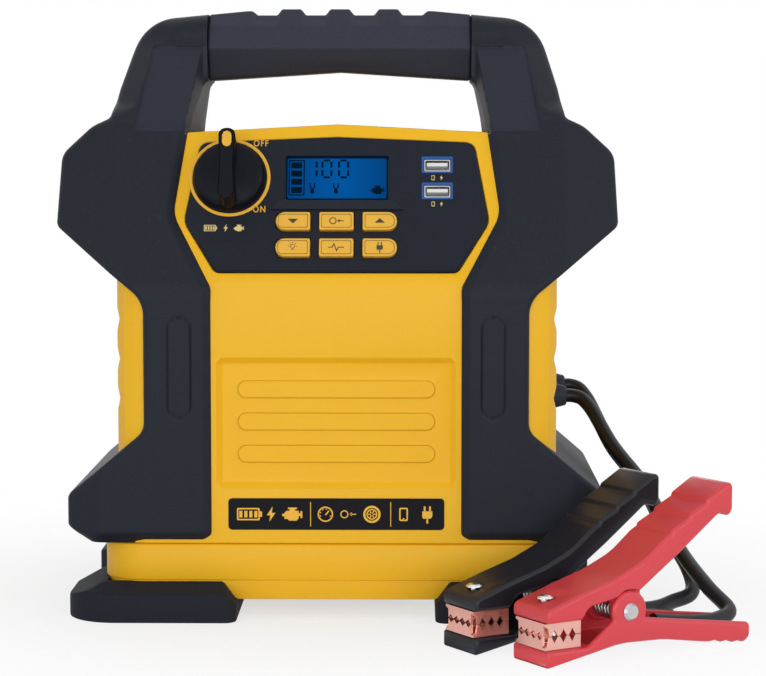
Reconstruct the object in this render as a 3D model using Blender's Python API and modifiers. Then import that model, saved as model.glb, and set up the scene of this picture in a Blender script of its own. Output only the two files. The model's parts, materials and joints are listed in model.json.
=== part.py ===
"""Jump starter pack: a battery and an air compressor in a yellow housing with a black carrying frame.

The origin is at the middle of the footprint, on the ground. +X is the user's right, +Z is up and
the control panel faces -Y. All sizes are in metres. Two battery clamps on short cables lie
in front of the pack and to its right.
"""

import math

import bmesh
import bpy
from mathutils import Matrix, Vector

GAP = 0.0003  # clearance between pieces that touch
ARC_STEP = math.radians(22.5)
SMALL_RADIUS = 0.0025  # up to this radius, a corner has half as many facets
BEYOND = 0.02  # how far a cutter runs past what it cuts

# Heights of the base tray and of the battery that stands in it: the pack's upper parts are set from the battery's top
TRAY_LOW = 0.009
TRAY_WALL = 0.003
BATTERY_HEIGHT = 0.160
BATTERY_TOP = TRAY_LOW + TRAY_WALL + GAP + BATTERY_HEIGHT

# Carrying frame, seen from the front
HANDLE_TOP = BATTERY_TOP + 0.1367
BAR_FLAT = 0.049  # half of the bar's level stretch
BAR_HALF = 0.1035
BAR_END_DROP = 0.0052
BAR_END_RADIUS = 0.024
POST_X = BAR_HALF + 0.0100
POST_BEND_Z = BATTERY_TOP + 0.0957
SHOULDER_X = 0.143
SHOULDER_NECK_X = POST_X + 0.0030
SHOULDER_TOP = BATTERY_TOP + 0.0805
SHOULDER_EASE = 0.0095  # from the neck out to the shoulder's first bend
SHOULDER_EASE_DROP = 0.0043
SHOULDER_EDGE_DROP = 0.0185
SHOULDER_LOW = BATTERY_TOP + 0.0257
SHOULDER_CREASE = 0.029  # from the shoulder's side in to the crease where its face slants back
HIP_CREASE = 0.0165
CREASE_SLANT = math.radians(20)
WAIST_X = 0.097
WAIST_TOP = BATTERY_TOP - 0.0111
WAIST_LOW = 0.0952
HIP_X = 0.1365
HIP_TOP = 0.0623
HIP_LOW = 0.0465
HIP_FOOT_X = 0.125
BORDER_X = 0.063  # inner edge of the frame beside the front panel
BORDER_BEND = BATTERY_TOP - 0.0043
BORDER_WIDE_X = 0.0825
BORDER_WIDE_Z = BATTERY_TOP + 0.0317
BORDER_TOP_X = 0.0755
BORDER_TOP = BATTERY_TOP + 0.0802
WINDOW_X = 0.0705
WINDOW_SILL_X = 0.0735
WINDOW_TOP = BATTERY_TOP + 0.1047
WINDOW_TOP_EDGE = BATTERY_TOP + 0.1002
WINDOW_RADIUS = 0.006
FRAME_EDGE = 0.003  # bevel along the frame's edges
FRAME_PROUD = 0.0035  # how far the frame stands out of the housing
WAIST_GROOVE_X = 0.079
WAIST_GROOVE_WIDTH = 0.0126
WAIST_GROOVE_LOW = 0.102
WAIST_GROOVE_TOP = 0.1525
WAIST_GROOVE_LINE = 0.0011
WAIST_GROOVE_DEPTH = 0.0008

# Side view of the frame and the housing
HOUSING_FRONT = 0.0845  # depth of the housing's front face from the middle plane
SLOPE_START = BATTERY_TOP - 0.0063
SLOPE_TOP = BATTERY_TOP + 0.0777
TILT = math.radians(19.5)
FRAME_CHAMFER = 0.0055
BAR_HALF_DEPTH = 0.0245
BAR_ROUND = 0.012
POST_TOP_Z = BATTERY_TOP + 0.1197
FLARE_FROM_X = WINDOW_X + 0.001
FLARE_WIDTH = 0.0075
FLARE_DEPTH = 0.062

# Recessed face of each post
INLAY_DEPTH = 0.0013
INLAY_LOW = BATTERY_TOP + 0.0737
INLAY_TOP = BATTERY_TOP + 0.1187
INLAY_IN = FLARE_FROM_X + 0.0005
INLAY_LOW_OUT = POST_X - 0.0089
INLAY_TOP_OUT = POST_X - 0.0163

# Grip on the handle bar
GRIP_HALF = WINDOW_X - 0.0015
GRIP_SKIN = 0.0025
GRIP_SET = 0.001  # how far its front lies behind the bar's ends
GRIP_LAND = 0.001  # height of its three lands over the bar
GRIP_NOTCH = 0.0023  # depth of the notches between them, below the bar
GRIP_PITCH = 0.0255
GRIP_LAND_TOP = 0.0100
GRIP_LAND_BASE = 0.0150
GRIP_FACE_LOW = 0.0150  # half depth of its section at the bottom
GRIP_FACE_HIGH = 0.0195  # and where the face turns in to the top
GRIP_WIDE_UP = 0.0125  # height of its widest place over the window
GRIP_HIGH_UP = 0.0235
GRIP_TOP_HALF = 0.0105

# Housing
HOUSING_HALF = 0.1115
HOUSING_TOP = BATTERY_TOP + 0.0772
HOUSING_EDGE_TOP = BATTERY_TOP + 0.0732
HOUSING_SHOULDER = BATTERY_TOP + 0.0627
HOUSING_CORNER = 0.018
HOUSING_WALL = 0.003
HOUSING_FRONT_WALL = 0.0065
FLANK_PITCH = 0.0202
FLANK_FIRST = 0.111
FLANK_WAVES = 3
FLANK_RISE = 0.004  # from a wave's crest to where it turns in
FLANK_DEPTH = 0.0015
RECESS_HALF = 0.0606
RECESS_LOW = 0.066
RECESS_TOP = 0.1325
RECESS_DEPTH = 0.003
RECESS_SLANT = 0.005
BAND_HALF = 0.0497
BAND_HEIGHT = 0.0087
BAND_PITCH = 0.0164
BAND_MIDDLE = 0.0999
BAND_PROUD = 0.001

# Base tray and feet
TRAY_HALF = 0.119
TRAY_DEPTH = 0.084
TRAY_CORNER = 0.022
TRAY_TOP = 0.0377
TRAY_STEP = 0.0190  # height of the step on its side
TRAY_STEP_IN = 0.001
FRAME_FOOT = TRAY_TOP + GAP
FOOT_INNER_X = 0.050
FOOT_OUTER_X = 0.1365
FOOT_DEPTH = 0.100
FOOT_FACE = 0.014
FOOT_SIDE_FACE = 0.0112
FOOT_TOP = TRAY_STEP - 0.0005
FOOT_WAIST_LONG = 0.047  # half length of the hollow in its outer side
FOOT_WAIST_SHORT = 0.022
FOOT_WAIST_RIM = 0.002  # what is left of the foot outside the tray there
FOOT_CORNER = 0.028
FOOT_SLANT = 0.008

# Control panel, in the slope's own frame: X along the pack, Y up the slope, Z out of it
PANEL_LOW_X = 0.061
PANEL_WIDE_X = 0.077
PANEL_TOP_X = 0.0695
PANEL_LOW = 0.0099
PANEL_WIDE = 0.0363
PANEL_TOP_EDGE = 0.0785
PANEL_TOP = 0.0815
PANEL_POCKET = 0.002
PANEL_PROUD = 0.0006
PANEL_LEDGE = 0.004
POST_RADIUS = 0.0022
BOARD_LEFT = -0.0375
BOARD_RIGHT = 0.0705
BOARD_LOW = 0.0175
BOARD_HIGH = 0.0785
POST_INSET = 0.006  # from the board's edges in to the panel's four posts
SCREEN_HALF = 0.026
SCREEN_Y = 0.0596
SCREEN_HEIGHT = 0.023
SCREEN_SET = 0.0008
SCREEN_THICK = 0.0015
MODULE_MARGIN = 0.004
BUTTON_WIDTH = 0.0173
BUTTON_HEIGHT = 0.0093
BUTTON_PITCH = 0.0219
BUTTON_ROW_LOW = 0.0220
BUTTON_ROW_HIGH = 0.0359
BUTTON_PROUD = 0.0032
BUTTON_TRAVEL = 0.0012
BUTTON_SLIT = 0.0003
BUTTON_FLANGE = 0.0008
USB_X = 0.0509
USB_LOW = 0.0524
USB_HIGH = 0.0663
USB_WIDTH = 0.0131
USB_HEIGHT = 0.0062
USB_WALL = 0.0005
USB_TONGUE_WIDTH = 0.0105
USB_TONGUE = 0.0018
KNOB_X = -0.0545
KNOB_Y = 0.0598
KNOB_RADIUS = 0.0186
KNOB_SKIRT = 0.0062
KNOB_HEIGHT = 0.0235
KNOB_LIFT = 0.0007
RIDGE_LENGTH = 0.0362
RIDGE_WIDTH = 0.0085
RIDGE_WAIST = 0.0067
POINTER_WIDTH = 0.0047
POINTER_LENGTH = 0.0082
POINTER_SHIFT = RIDGE_LENGTH / 2 - POINTER_LENGTH / 2 - 0.0015  # from the knob's middle
SHAFT_RADIUS = 0.004
SHAFT_DEPTH = 0.006  # of its end below the panel
SWITCH_SIZE = 0.023
SWITCH_DEPTH = 0.024
BOARD_DEPTH = 0.0125
BOARD_THICK = 0.0016

# Inside the housing
BATTERY_HALF = 0.0905
BATTERY_DEEP = 0.077
BATTERY_BACK = 0.0016
TERMINAL_SIZE = 0.013
TERMINAL_HEIGHT = 0.007
TERMINAL_X = 0.075
MOTOR_RADIUS = 0.0185
MOTOR_LENGTH = 0.058
MOTOR_END_X = 0.012
COMPRESSOR_Y = 0.045
COMPRESSOR_Z = 0.050
CRANKCASE_LENGTH = 0.034
CRANKCASE_HALF = 0.023
CYLINDER_RADIUS = 0.0125
CYLINDER_HEIGHT = 0.042
FIN_RADIUS = 0.019
FIN_COUNT = 5
FAN_RADIUS = 0.021
FAN_BLADES = 5
FAN_DEPTH = 0.010
FAN_AWAY = 0.0025
FAN_AXLE = 0.0015

# Rear face
LAMP_RADIUS = 0.025
LAMP_Y = 0.045
LAMP_LIP = 0.003
INLET_X = 0.032
INLET_Z = 0.100
INLET_RADIUS = 0.0145
INLET_BORE = 0.0105
INLET_DEPTH = 0.034
INLET_LIP = 0.0023
COVER_THICK = 0.002
HINGE_AWAY = 0.0023
HINGE_HEIGHT = 0.0022
HINGE_RADIUS = 0.0018
HINGE_PIN = 0.0008
LUG_IN = 0.0043
LUG_OUT = 0.0063
HOSE_X = -0.032
HOSE_RADIUS = 0.009

# Battery clamps: X runs from the jaws' tips to the handles' ends
CLAMP_HALF = 0.01475
CLAMP_WALL = 0.00275
CLAMP_FLOOR = 0.0024
CLAMP_TURN = math.radians(32)
RED_TIP = Vector((0.0926, -0.1917, 0.0))
BLACK_TIP = Vector((0.0603, -0.1630, 0.0))
PIVOT_S = 0.0476
PIVOT_Z = 0.0223
BOSS_RADIUS = 0.010
EAR_RADIUS = 0.008
EAR_THICK = 0.0029
PIN_RADIUS = 0.0029
PIN_HEAD = 0.0043
PIN_HEAD_THICK = 0.0012
STEP_COUNT = 3  # finger steps near the end of the upper handle
STEP_FIRST = 0.0138  # along the handle from its end
STEP_PITCH = 0.0123
STEP_DEPTH = 0.0012
JAW_LENGTH = 0.020
JAW_HALF = 0.012
JAW_SHEET = 0.0012
JAW_LOW = 0.0083
JAW_MEET = 0.0145
TOOTH_DEPTH = 0.003
RIVET_S = 0.009
RIVET_RADIUS = 0.0022
RIVET_HEAD = 0.0042
RIVET_SEAT = 0.0300
SPRING_RADIUS = 0.0052
SPRING_WIRE = 0.0008
SPRING_TURNS = 5
SPRING_PITCH = 0.0026
SPRING_LOWER_LEG = 0.0195
SPRING_UPPER_LEG = 0.0215

# Cables
CABLE_RADIUS = 0.00375
CABLE_SPACING = 0.012  # between the points that its bends are drawn with
GLAND_RADIUS = 0.0075
GLAND_LENGTH = 0.012
RED_GLAND = Vector((HOUSING_HALF, 0.040, 0.100))
BLACK_GLAND = Vector((HOUSING_HALF, 0.058, 0.104))

SLOPE = Matrix.Translation((0, -HOUSING_FRONT, SLOPE_START)) @ Matrix.Rotation(math.pi / 2 - TILT, 4, "X")
FRONT = Matrix.Rotation(math.pi / 2, 4, "X")  # outline's X and Y become X and Z, its Z becomes -Y
SIDE = Matrix(((0, 0, 1, 0), (1, 0, 0, 0), (0, 1, 0, 0), (0, 0, 0, 1)))  # outline lies in Y and Z
REAR = Matrix.Rotation(math.pi, 4, "Z")


# ---------------------------------------------------------------- helpers


def clear_scene():
    for item in list(bpy.data.objects):
        bpy.data.objects.remove(item)


def collection(name):
    made = bpy.data.collections.new(name)
    bpy.context.scene.collection.children.link(made)
    return made


def material(name, color, roughness, metallic=0.0):
    made = bpy.data.materials.new(name)
    made.use_nodes = True
    shader = made.node_tree.nodes["Principled BSDF"]
    shader.inputs["Base Color"].default_value = (*color, 1.0)
    shader.inputs["Roughness"].default_value = roughness
    shader.inputs["Metallic"].default_value = metallic
    return made


def grown(corners, distance):
    """The anticlockwise outline of (x, y, radius) corners, moved outwards by a distance."""
    moved = []
    for index, (x, y, radius) in enumerate(corners):
        here = Vector((x, y))
        back = (here - Vector(corners[index - 1][:2])).normalized()
        ahead = (Vector(corners[(index + 1) % len(corners)][:2]) - here).normalized()
        out_back = Vector((back.y, -back.x))
        out_ahead = Vector((ahead.y, -ahead.x))
        place = here + (out_back + out_ahead) * distance / (1 + out_back.dot(out_ahead))
        convex = back.x * ahead.y - back.y * ahead.x > 0
        wider = radius + distance if convex else radius - distance
        moved.append((place.x, place.y, max(wider, 0.0) if radius else 0.0))
    return moved


def rounded(corners):
    """The points of an outline of (x, y, radius) corners, each corner an arc of its radius."""
    points = []
    for index, (x, y, radius) in enumerate(corners):
        here = Vector((x, y))
        back = Vector(corners[index - 1][:2]) - here
        ahead = Vector(corners[(index + 1) % len(corners)][:2]) - here
        half = back.angle(ahead) / 2
        if radius < 1e-5 or half > math.radians(88):
            points.append(here)
            continue
        reach = min(radius / math.tan(half), 0.48 * back.length, 0.48 * ahead.length)
        radius = reach * math.tan(half)
        centre = here + (back.normalized() + ahead.normalized()).normalized() * radius / math.sin(half)
        start = here + back.normalized() * reach - centre
        end = here + ahead.normalized() * reach - centre
        turn = math.atan2(start.x * end.y - start.y * end.x, start.dot(end))
        widest = ARC_STEP if radius > SMALL_RADIUS else 2 * ARC_STEP
        steps = max(1, math.ceil(abs(turn) / widest - 0.01))
        for step in range(steps + 1):
            points.append(centre + Matrix.Rotation(turn * step / steps, 2) @ start)
    return points


def arc(x, y, radius, start, end):
    """Sharp corners along an arc, anticlockwise between two angles in degrees."""
    steps = math.ceil((end - start) / 20)
    turns = [math.radians(start + (end - start) * step / steps) for step in range(steps + 1)]
    return [(x + radius * math.cos(turn), y + radius * math.sin(turn), 0.0) for turn in turns]


def both_sides(right):
    """A closed outline from its right half, listed from the bottom up."""
    left = [(-x, y, radius) for x, y, radius in reversed(right) if x > 1e-6]
    return right + left


def circle(radius, x=0.0, y=0.0, steps=24):
    turns = [2 * math.pi * step / steps for step in range(steps)]
    return [Vector((x + radius * math.cos(turn), y + radius * math.sin(turn))) for turn in turns]


def rectangle(width, height, x=0.0, y=0.0, radius=0.0):
    return rounded([
        (x - width / 2, y - height / 2, radius),
        (x + width / 2, y - height / 2, radius),
        (x + width / 2, y + height / 2, radius),
        (x - width / 2, y + height / 2, radius),
    ])


def place_object(name, mesh, place, parent):
    """A new object, in the cutters' collection until it is made a part."""
    made = bpy.data.objects.new(name, mesh)
    made.parent = parent
    made.matrix_basis = place
    made.hide_render = True
    made.display_type = "WIRE"
    CUTTERS.objects.link(made)
    return made


def welded(mesh, distance=5e-6):
    edit = bmesh.new()
    edit.from_mesh(mesh)
    bmesh.ops.remove_doubles(edit, verts=edit.verts, dist=distance)
    bmesh.ops.recalc_face_normals(edit, faces=edit.faces)
    edit.to_mesh(mesh)
    edit.free()
    return mesh


def mesh_of(curve, name):
    """The welded mesh of a curve, which is removed."""
    holder = bpy.data.objects.new(name, curve)
    CUTTERS.objects.link(holder)
    graph = bpy.context.evaluated_depsgraph_get()
    mesh = welded(bpy.data.meshes.new_from_object(holder.evaluated_get(graph)))
    bpy.data.objects.remove(holder)
    bpy.data.curves.remove(curve)
    return mesh


def plate(name, loops, low, high, place=Matrix(), parent=None, rounding=0.0):
    """A flat outline, with further loops as holes, from low to high along its own Z."""
    curve = bpy.data.curves.new(name, "CURVE")
    curve.dimensions = "2D"
    curve.fill_mode = "BOTH"
    curve.extrude = (high - low) / 2 - rounding
    curve.bevel_depth = rounding
    curve.bevel_resolution = 0
    curve.offset = -rounding
    for points in loops:
        spline = curve.splines.new("POLY")
        spline.points.add(len(points) - 1)
        for point, (x, y) in zip(spline.points, points):
            point.co = (x, y, 0, 1)
        spline.use_cyclic_u = True
    mesh = mesh_of(curve, name)
    mesh.transform(Matrix.Translation((0, 0, (low + high) / 2)))
    return place_object(name, mesh, place, parent)


def box(name, low, high, place=Matrix(), parent=None, edge=0.0):
    """A block between two corners, with its edges bevelled."""
    mesh = bpy.data.meshes.new(name)
    edit = bmesh.new()
    low, high = Vector(low), Vector(high)
    size = Matrix.Diagonal((*(high - low), 1))
    bmesh.ops.create_cube(edit, size=1, matrix=Matrix.Translation((low + high) / 2) @ size)
    edit.to_mesh(mesh)
    edit.free()
    made = place_object(name, mesh, place, parent)
    if edge:
        bevelled(made, edge)
    return made


def cylinder(name, radius, low, high, place=Matrix(), parent=None, steps=24, end_radius=None):
    """A round bar, or a cone when it has another radius at its high end."""
    mesh = bpy.data.meshes.new(name)
    edit = bmesh.new()
    middle = Matrix.Translation((0, 0, (low + high) / 2))
    top = radius if end_radius is None else end_radius
    bmesh.ops.create_cone(
        edit, cap_ends=True, segments=steps, radius1=radius, radius2=top, depth=high - low, matrix=middle
    )
    edit.to_mesh(mesh)
    edit.free()
    return place_object(name, mesh, place, parent)


def turned(name, profile, place=Matrix(), parent=None, steps=24):
    """A profile of (radius, height) points, listed down the outer side, turned about its own Z."""
    mesh = bpy.data.meshes.new(name)
    edges = [(index, (index + 1) % len(profile)) for index in range(len(profile))]
    if profile[0][0] == 0 and profile[-1][0] == 0:
        edges.pop()
    mesh.from_pydata([(radius, 0, height) for radius, height in profile], edges, [])
    made = place_object(name, mesh, place, parent)
    screw = made.modifiers.new("Turn", "SCREW")
    screw.steps = screw.render_steps = steps
    screw.use_merge_vertices = True
    screw.merge_threshold = 1e-5
    return made


def tube(name, points, radius, place=Matrix(), parent=None, resolution=2):
    """A round wire along points."""
    curve = bpy.data.curves.new(name, "CURVE")
    curve.dimensions = "3D"
    curve.bevel_depth = radius
    curve.bevel_resolution = resolution
    curve.use_fill_caps = True
    spline = curve.splines.new("POLY")
    spline.points.add(len(points) - 1)
    for point, co in zip(spline.points, points):
        point.co = (*co, 1)
    return place_object(name, mesh_of(curve, name), place, parent)


def bevelled(made, width, segments=1, angle=50):
    bevel = made.modifiers.new("Edges", "BEVEL")
    bevel.width = width
    bevel.segments = segments
    bevel.limit_method = "ANGLE"
    bevel.angle_limit = math.radians(angle)
    return made


def combine(made, others, operation, solver="EXACT"):
    for other in others:
        step = made.modifiers.new(other.name, "BOOLEAN")
        step.operation = operation
        step.solver = solver
        step.object = other
    return made


def cut(made, *others):
    return combine(made, others, "DIFFERENCE")


def join(made, *others):
    return combine(made, others, "UNION")


def common(made, *others):
    return combine(made, others, "INTERSECT")


def part(made, finish, name=None):
    """Makes an object one of the pack's parts, with its finish."""
    CUTTERS.objects.unlink(made)
    PARTS.objects.link(made)
    made.name = name or made.name
    made.hide_render = False
    made.display_type = "TEXTURED"
    made.data.materials.clear()
    made.data.materials.append(finish)
    made.data.shade_smooth()
    made.data.set_sharp_from_angle(angle=math.radians(30))
    return made


def slope_back(z, front):
    """How far from the middle plane a sloping front is at a height."""
    return front - max(0.0, z - SLOPE_START) * math.tan(TILT)


# ---------------------------------------------------------------- outlines


def frame_outline():
    return both_sides([
        (HIP_FOOT_X, FRAME_FOOT, 0.002),
        (HIP_X, HIP_LOW, 0.002),
        (HIP_X, HIP_TOP, 0.004),
        (WAIST_X, WAIST_LOW, 0.010),
        (WAIST_X, WAIST_TOP, 0.015),
        (SHOULDER_X, SHOULDER_LOW, 0.004),
        (SHOULDER_X - 0.0015, SHOULDER_TOP - SHOULDER_EDGE_DROP, 0.010),
        (SHOULDER_NECK_X + SHOULDER_EASE, SHOULDER_TOP - SHOULDER_EASE_DROP, 0.020),
        (SHOULDER_NECK_X, SHOULDER_TOP, 0.002),
        (POST_X, POST_BEND_Z, 0.02),
        (BAR_HALF, HANDLE_TOP - BAR_END_DROP, BAR_END_RADIUS),
        (BAR_FLAT, HANDLE_TOP, 0.06),
    ])


def border_outline():
    return both_sides([
        (BORDER_X, FRAME_FOOT - BEYOND, 0.0),
        (BORDER_X, BORDER_BEND, 0.008),
        (BORDER_WIDE_X, BORDER_WIDE_Z, 0.015),
        (BORDER_TOP_X, BORDER_TOP, 0.0),
    ])


def window_outline():
    return both_sides([
        (WINDOW_SILL_X, BORDER_TOP - 0.008, 0.0),
        (WINDOW_X, WINDOW_TOP_EDGE, WINDOW_RADIUS),
        (0.0, WINDOW_TOP, 0.0),
    ])


def frame_side():
    face = HOUSING_FRONT + FRAME_PROUD
    return both_sides([
        (face - FRAME_CHAMFER, FRAME_FOOT, 0.0),
        (face, FRAME_FOOT + FRAME_CHAMFER, 0.0),
        (face, SLOPE_START, 0.03),
        (slope_back(SLOPE_TOP, face), SLOPE_TOP, 0.012),
        (BAR_HALF_DEPTH, POST_TOP_Z, 0.012),
        (BAR_HALF_DEPTH - 0.002, HANDLE_TOP + 0.001, BAR_ROUND),
        (0.0, HANDLE_TOP + 0.001, 0.0),
    ])


def flank_points():
    """The scalloped side of the housing: shallow waves between straight ends, from the bottom up."""
    points = [(HOUSING_HALF, FLANK_FIRST - FLANK_PITCH, 0.0)]
    for wave in range(FLANK_WAVES):
        middle = FLANK_FIRST + wave * FLANK_PITCH
        crest = middle + FLANK_PITCH / 2
        points.append((HOUSING_HALF, middle - FLANK_PITCH / 2 + FLANK_RISE, 0.006))
        points.append((HOUSING_HALF - FLANK_DEPTH, middle, 0.0))
        points.append((HOUSING_HALF, crest - FLANK_RISE, 0.006))
    return points


def housing_outline():
    return both_sides(
        [(HOUSING_HALF, FRAME_FOOT, 0.0)]
        + flank_points()
        + [
            (HOUSING_HALF, HOUSING_SHOULDER, 0.004),
            (BORDER_TOP_X, HOUSING_EDGE_TOP, 0.0),
            (0.0, HOUSING_TOP, 0.0),
        ]
    )


def plain_housing_outline():
    return both_sides([
        (HOUSING_HALF, FRAME_FOOT, 0.0),
        (HOUSING_HALF, HOUSING_SHOULDER, 0.004),
        (BORDER_TOP_X, HOUSING_EDGE_TOP, 0.0),
        (0.0, HOUSING_TOP, 0.0),
    ])


def housing_side():
    top = HOUSING_TOP + BEYOND
    return both_sides([
        (HOUSING_FRONT, FRAME_FOOT, 0.0),
        (HOUSING_FRONT, SLOPE_START, 0.03),
        (slope_back(top, HOUSING_FRONT), top, 0.0),
    ])


def housing_block(name, outline, grow, front_grow, below):
    """The housing's outer form, grown or shrunk, as one block that runs on below its foot."""
    corners = [(x, y - below if y <= FRAME_FOOT else y, r) for x, y, r in outline]
    block = plate(name, [rounded(grown(corners, grow))], -0.1, 0.1, FRONT)
    side = [(y, z - 2 * below if z <= FRAME_FOOT else z, r) for y, z, r in housing_side()]
    side_block = plate(name + "_side", [rounded(grown(side, front_grow))], -0.13, 0.13, SIDE)
    half, deep = HOUSING_HALF + 0.001 + grow, HOUSING_FRONT + front_grow + 0.0005
    plan = rectangle(2 * half, 2 * deep, radius=HOUSING_CORNER + grow)
    plan_block = plate(name + "_plan", [plan], -0.05, HOUSING_TOP + 0.05)
    return common(block, side_block, plan_block)


def panel_outline():
    return both_sides([
        (PANEL_LOW_X, PANEL_LOW, 0.004),
        (PANEL_WIDE_X, PANEL_WIDE, 0.008),
        (PANEL_TOP_X, PANEL_TOP_EDGE, 0.005),
        (0.0, PANEL_TOP, 0.0),
    ])


# ---------------------------------------------------------------- casings


def half_space(name, front):
    """A block over the other half of the pack, which leaves the front or the rear half when it is cut."""
    reach = 0.4
    if front:
        return box(name, (-reach, -GAP / 2, -reach), (reach, reach, reach))
    return box(name, (-reach, -reach, -reach), (reach, GAP / 2, reach))


def obround_ring(x, low, high, width, line):
    """Two loops: a standing obround and the one inside it."""
    outer = rectangle(width, high - low, x, (low + high) / 2, width / 2)
    inner = rectangle(width - 2 * line, high - low - 2 * line, x, (low + high) / 2, width / 2 - line)
    return [outer, inner]


def frame_half(name, front):
    face = HOUSING_FRONT + FRAME_PROUD
    frame = plate(name, [rounded(frame_outline())], -face - BEYOND, face + BEYOND, FRONT)
    common(frame, plate(name + "_side", [rounded(frame_side())], -0.16, 0.16, SIDE))
    cut(frame, plate(name + "_border", [rounded(border_outline())], -0.12, 0.12, FRONT))
    cut(frame, plate(name + "_window", [rounded(window_outline())], -0.12, 0.12, FRONT))
    near, far = BAR_HALF_DEPTH, FLARE_DEPTH
    flare_end = FLARE_FROM_X + FLARE_WIDTH
    for sign in (-1, 1):
        corners = [
            (-FLARE_FROM_X, sign * near),
            (FLARE_FROM_X, sign * near),
            (flare_end, sign * far),
            (-flare_end, sign * far),
        ]
        loop = [Vector(corner) for corner in corners]
        cut(frame, plate(name + "_flare", [loop], BORDER_TOP - 0.009, HANDLE_TOP + BEYOND))
    facets(frame, name, front)
    bevelled(frame, FRAME_EDGE, 2)
    cut(frame, housing_block(name + "_inside", plain_housing_outline(), GAP, GAP, 0.01))
    depth = GRIP_HALF + GAP
    around = rectangle(4 * BAR_HALF_DEPTH, 4 * BAR_HALF_DEPTH, 0, WINDOW_TOP)
    core = bar_section(-GRIP_SKIN, WINDOW_TOP, HANDLE_TOP - GRIP_NOTCH)
    cut(frame, plate(name + "_grip_seat", [around, core], -depth, depth, SIDE))
    for side in (-1, 1):
        cut(frame, post_inlay(name, side, front))
    sign = 1 if front else -1
    for x in (-WAIST_GROOVE_X, WAIST_GROOVE_X):
        ring = obround_ring(x, WAIST_GROOVE_LOW, WAIST_GROOVE_TOP, WAIST_GROOVE_WIDTH, WAIST_GROOVE_LINE)
        low, high = sorted((sign * (face - WAIST_GROOVE_DEPTH), sign * (face + BEYOND)))
        cut(frame, plate(name + "_groove", ring, low, high, FRONT))
    cut(frame, half_space(name + "_split", front))
    return part(frame, FRAME_BLACK)


def slanted_sides(frame, name, place, inner, face, low, high):
    """Slants a face back outside a crease at each side; the face is at a height along the place's own Z."""
    fall = (inner + BEYOND) * math.tan(CREASE_SLANT)
    corners = [(inner, face), (2 * inner + BEYOND, face - fall), (2 * inner + BEYOND, face + BEYOND), (inner, face + BEYOND)]
    for side in (-1, 1):
        loop = [Vector((side * x, z)) for x, z in corners]
        cut(frame, plate(name, [loop], -high, -low, place @ FRONT))


def facets(frame, name, front):
    """The shoulders' and the hips' outer faces lean back, like the facets of a cut stone."""
    turned_round = Matrix() if front else REAR
    shoulder = SHOULDER_X - SHOULDER_CREASE
    proud = FRAME_PROUD * math.cos(TILT)
    slanted_sides(frame, name + "_shoulder", turned_round @ SLOPE, shoulder, proud, -BEYOND, SHOULDER_TOP / 2)
    wall = Matrix.Translation((0, -HOUSING_FRONT, 0)) @ Matrix.Rotation(math.pi / 2, 4, "X")
    slanted_sides(frame, name + "_hip", turned_round @ wall, HIP_X - HIP_CREASE, FRAME_PROUD, 0.0, WAIST_LOW)


def post_inlay(name, side, front):
    """A cutter for the flat recess in the face of a post: its outline from the front, and its depth from the side."""
    outline = [
        (INLAY_IN, INLAY_LOW, 0.0),
        (INLAY_LOW_OUT, INLAY_LOW, 0.001),
        (INLAY_TOP_OUT, INLAY_TOP, 0.001),
        (INLAY_IN, INLAY_TOP, 0.0),
    ]
    points = [Vector((side * point.x, point.y)) for point in rounded(outline)]
    sign = -1 if front else 1
    face = HOUSING_FRONT + FRAME_PROUD
    deep = slope_back(SLOPE_TOP, face)
    low, high = sorted((sign * (BAR_HALF_DEPTH - BEYOND), sign * (deep + BEYOND)))
    cutter = plate(name + "_inlay", [points], -high, -low, FRONT)
    floor = [
        (deep - INLAY_DEPTH, SLOPE_TOP),
        (BAR_HALF_DEPTH - INLAY_DEPTH, POST_TOP_Z),
        (BAR_HALF_DEPTH - INLAY_DEPTH + BEYOND, POST_TOP_Z + BEYOND),
        (deep + 2 * BEYOND, POST_TOP_Z + BEYOND),
        (deep + 2 * BEYOND, INLAY_LOW - BEYOND),
        (deep - INLAY_DEPTH, INLAY_LOW - BEYOND),
    ]
    loop = [Vector((sign * y, z)) for y, z in floor]
    return common(cutter, plate(name + "_inlay_side", [loop], -0.16, 0.16, SIDE))


def bar_section(grow, low, top):
    """The grip's section in Y and Z: its face leans out to its widest place and in again."""
    wide = BAR_HALF_DEPTH - GRIP_SET
    corners = both_sides([
        (GRIP_FACE_LOW, low, 0.005),
        (wide, WINDOW_TOP + GRIP_WIDE_UP, 0.010),
        (GRIP_FACE_HIGH, WINDOW_TOP + GRIP_HIGH_UP, 0.006),
        (GRIP_TOP_HALF, top, 0.003),
    ])
    return rounded(grown(corners, grow))


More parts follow.
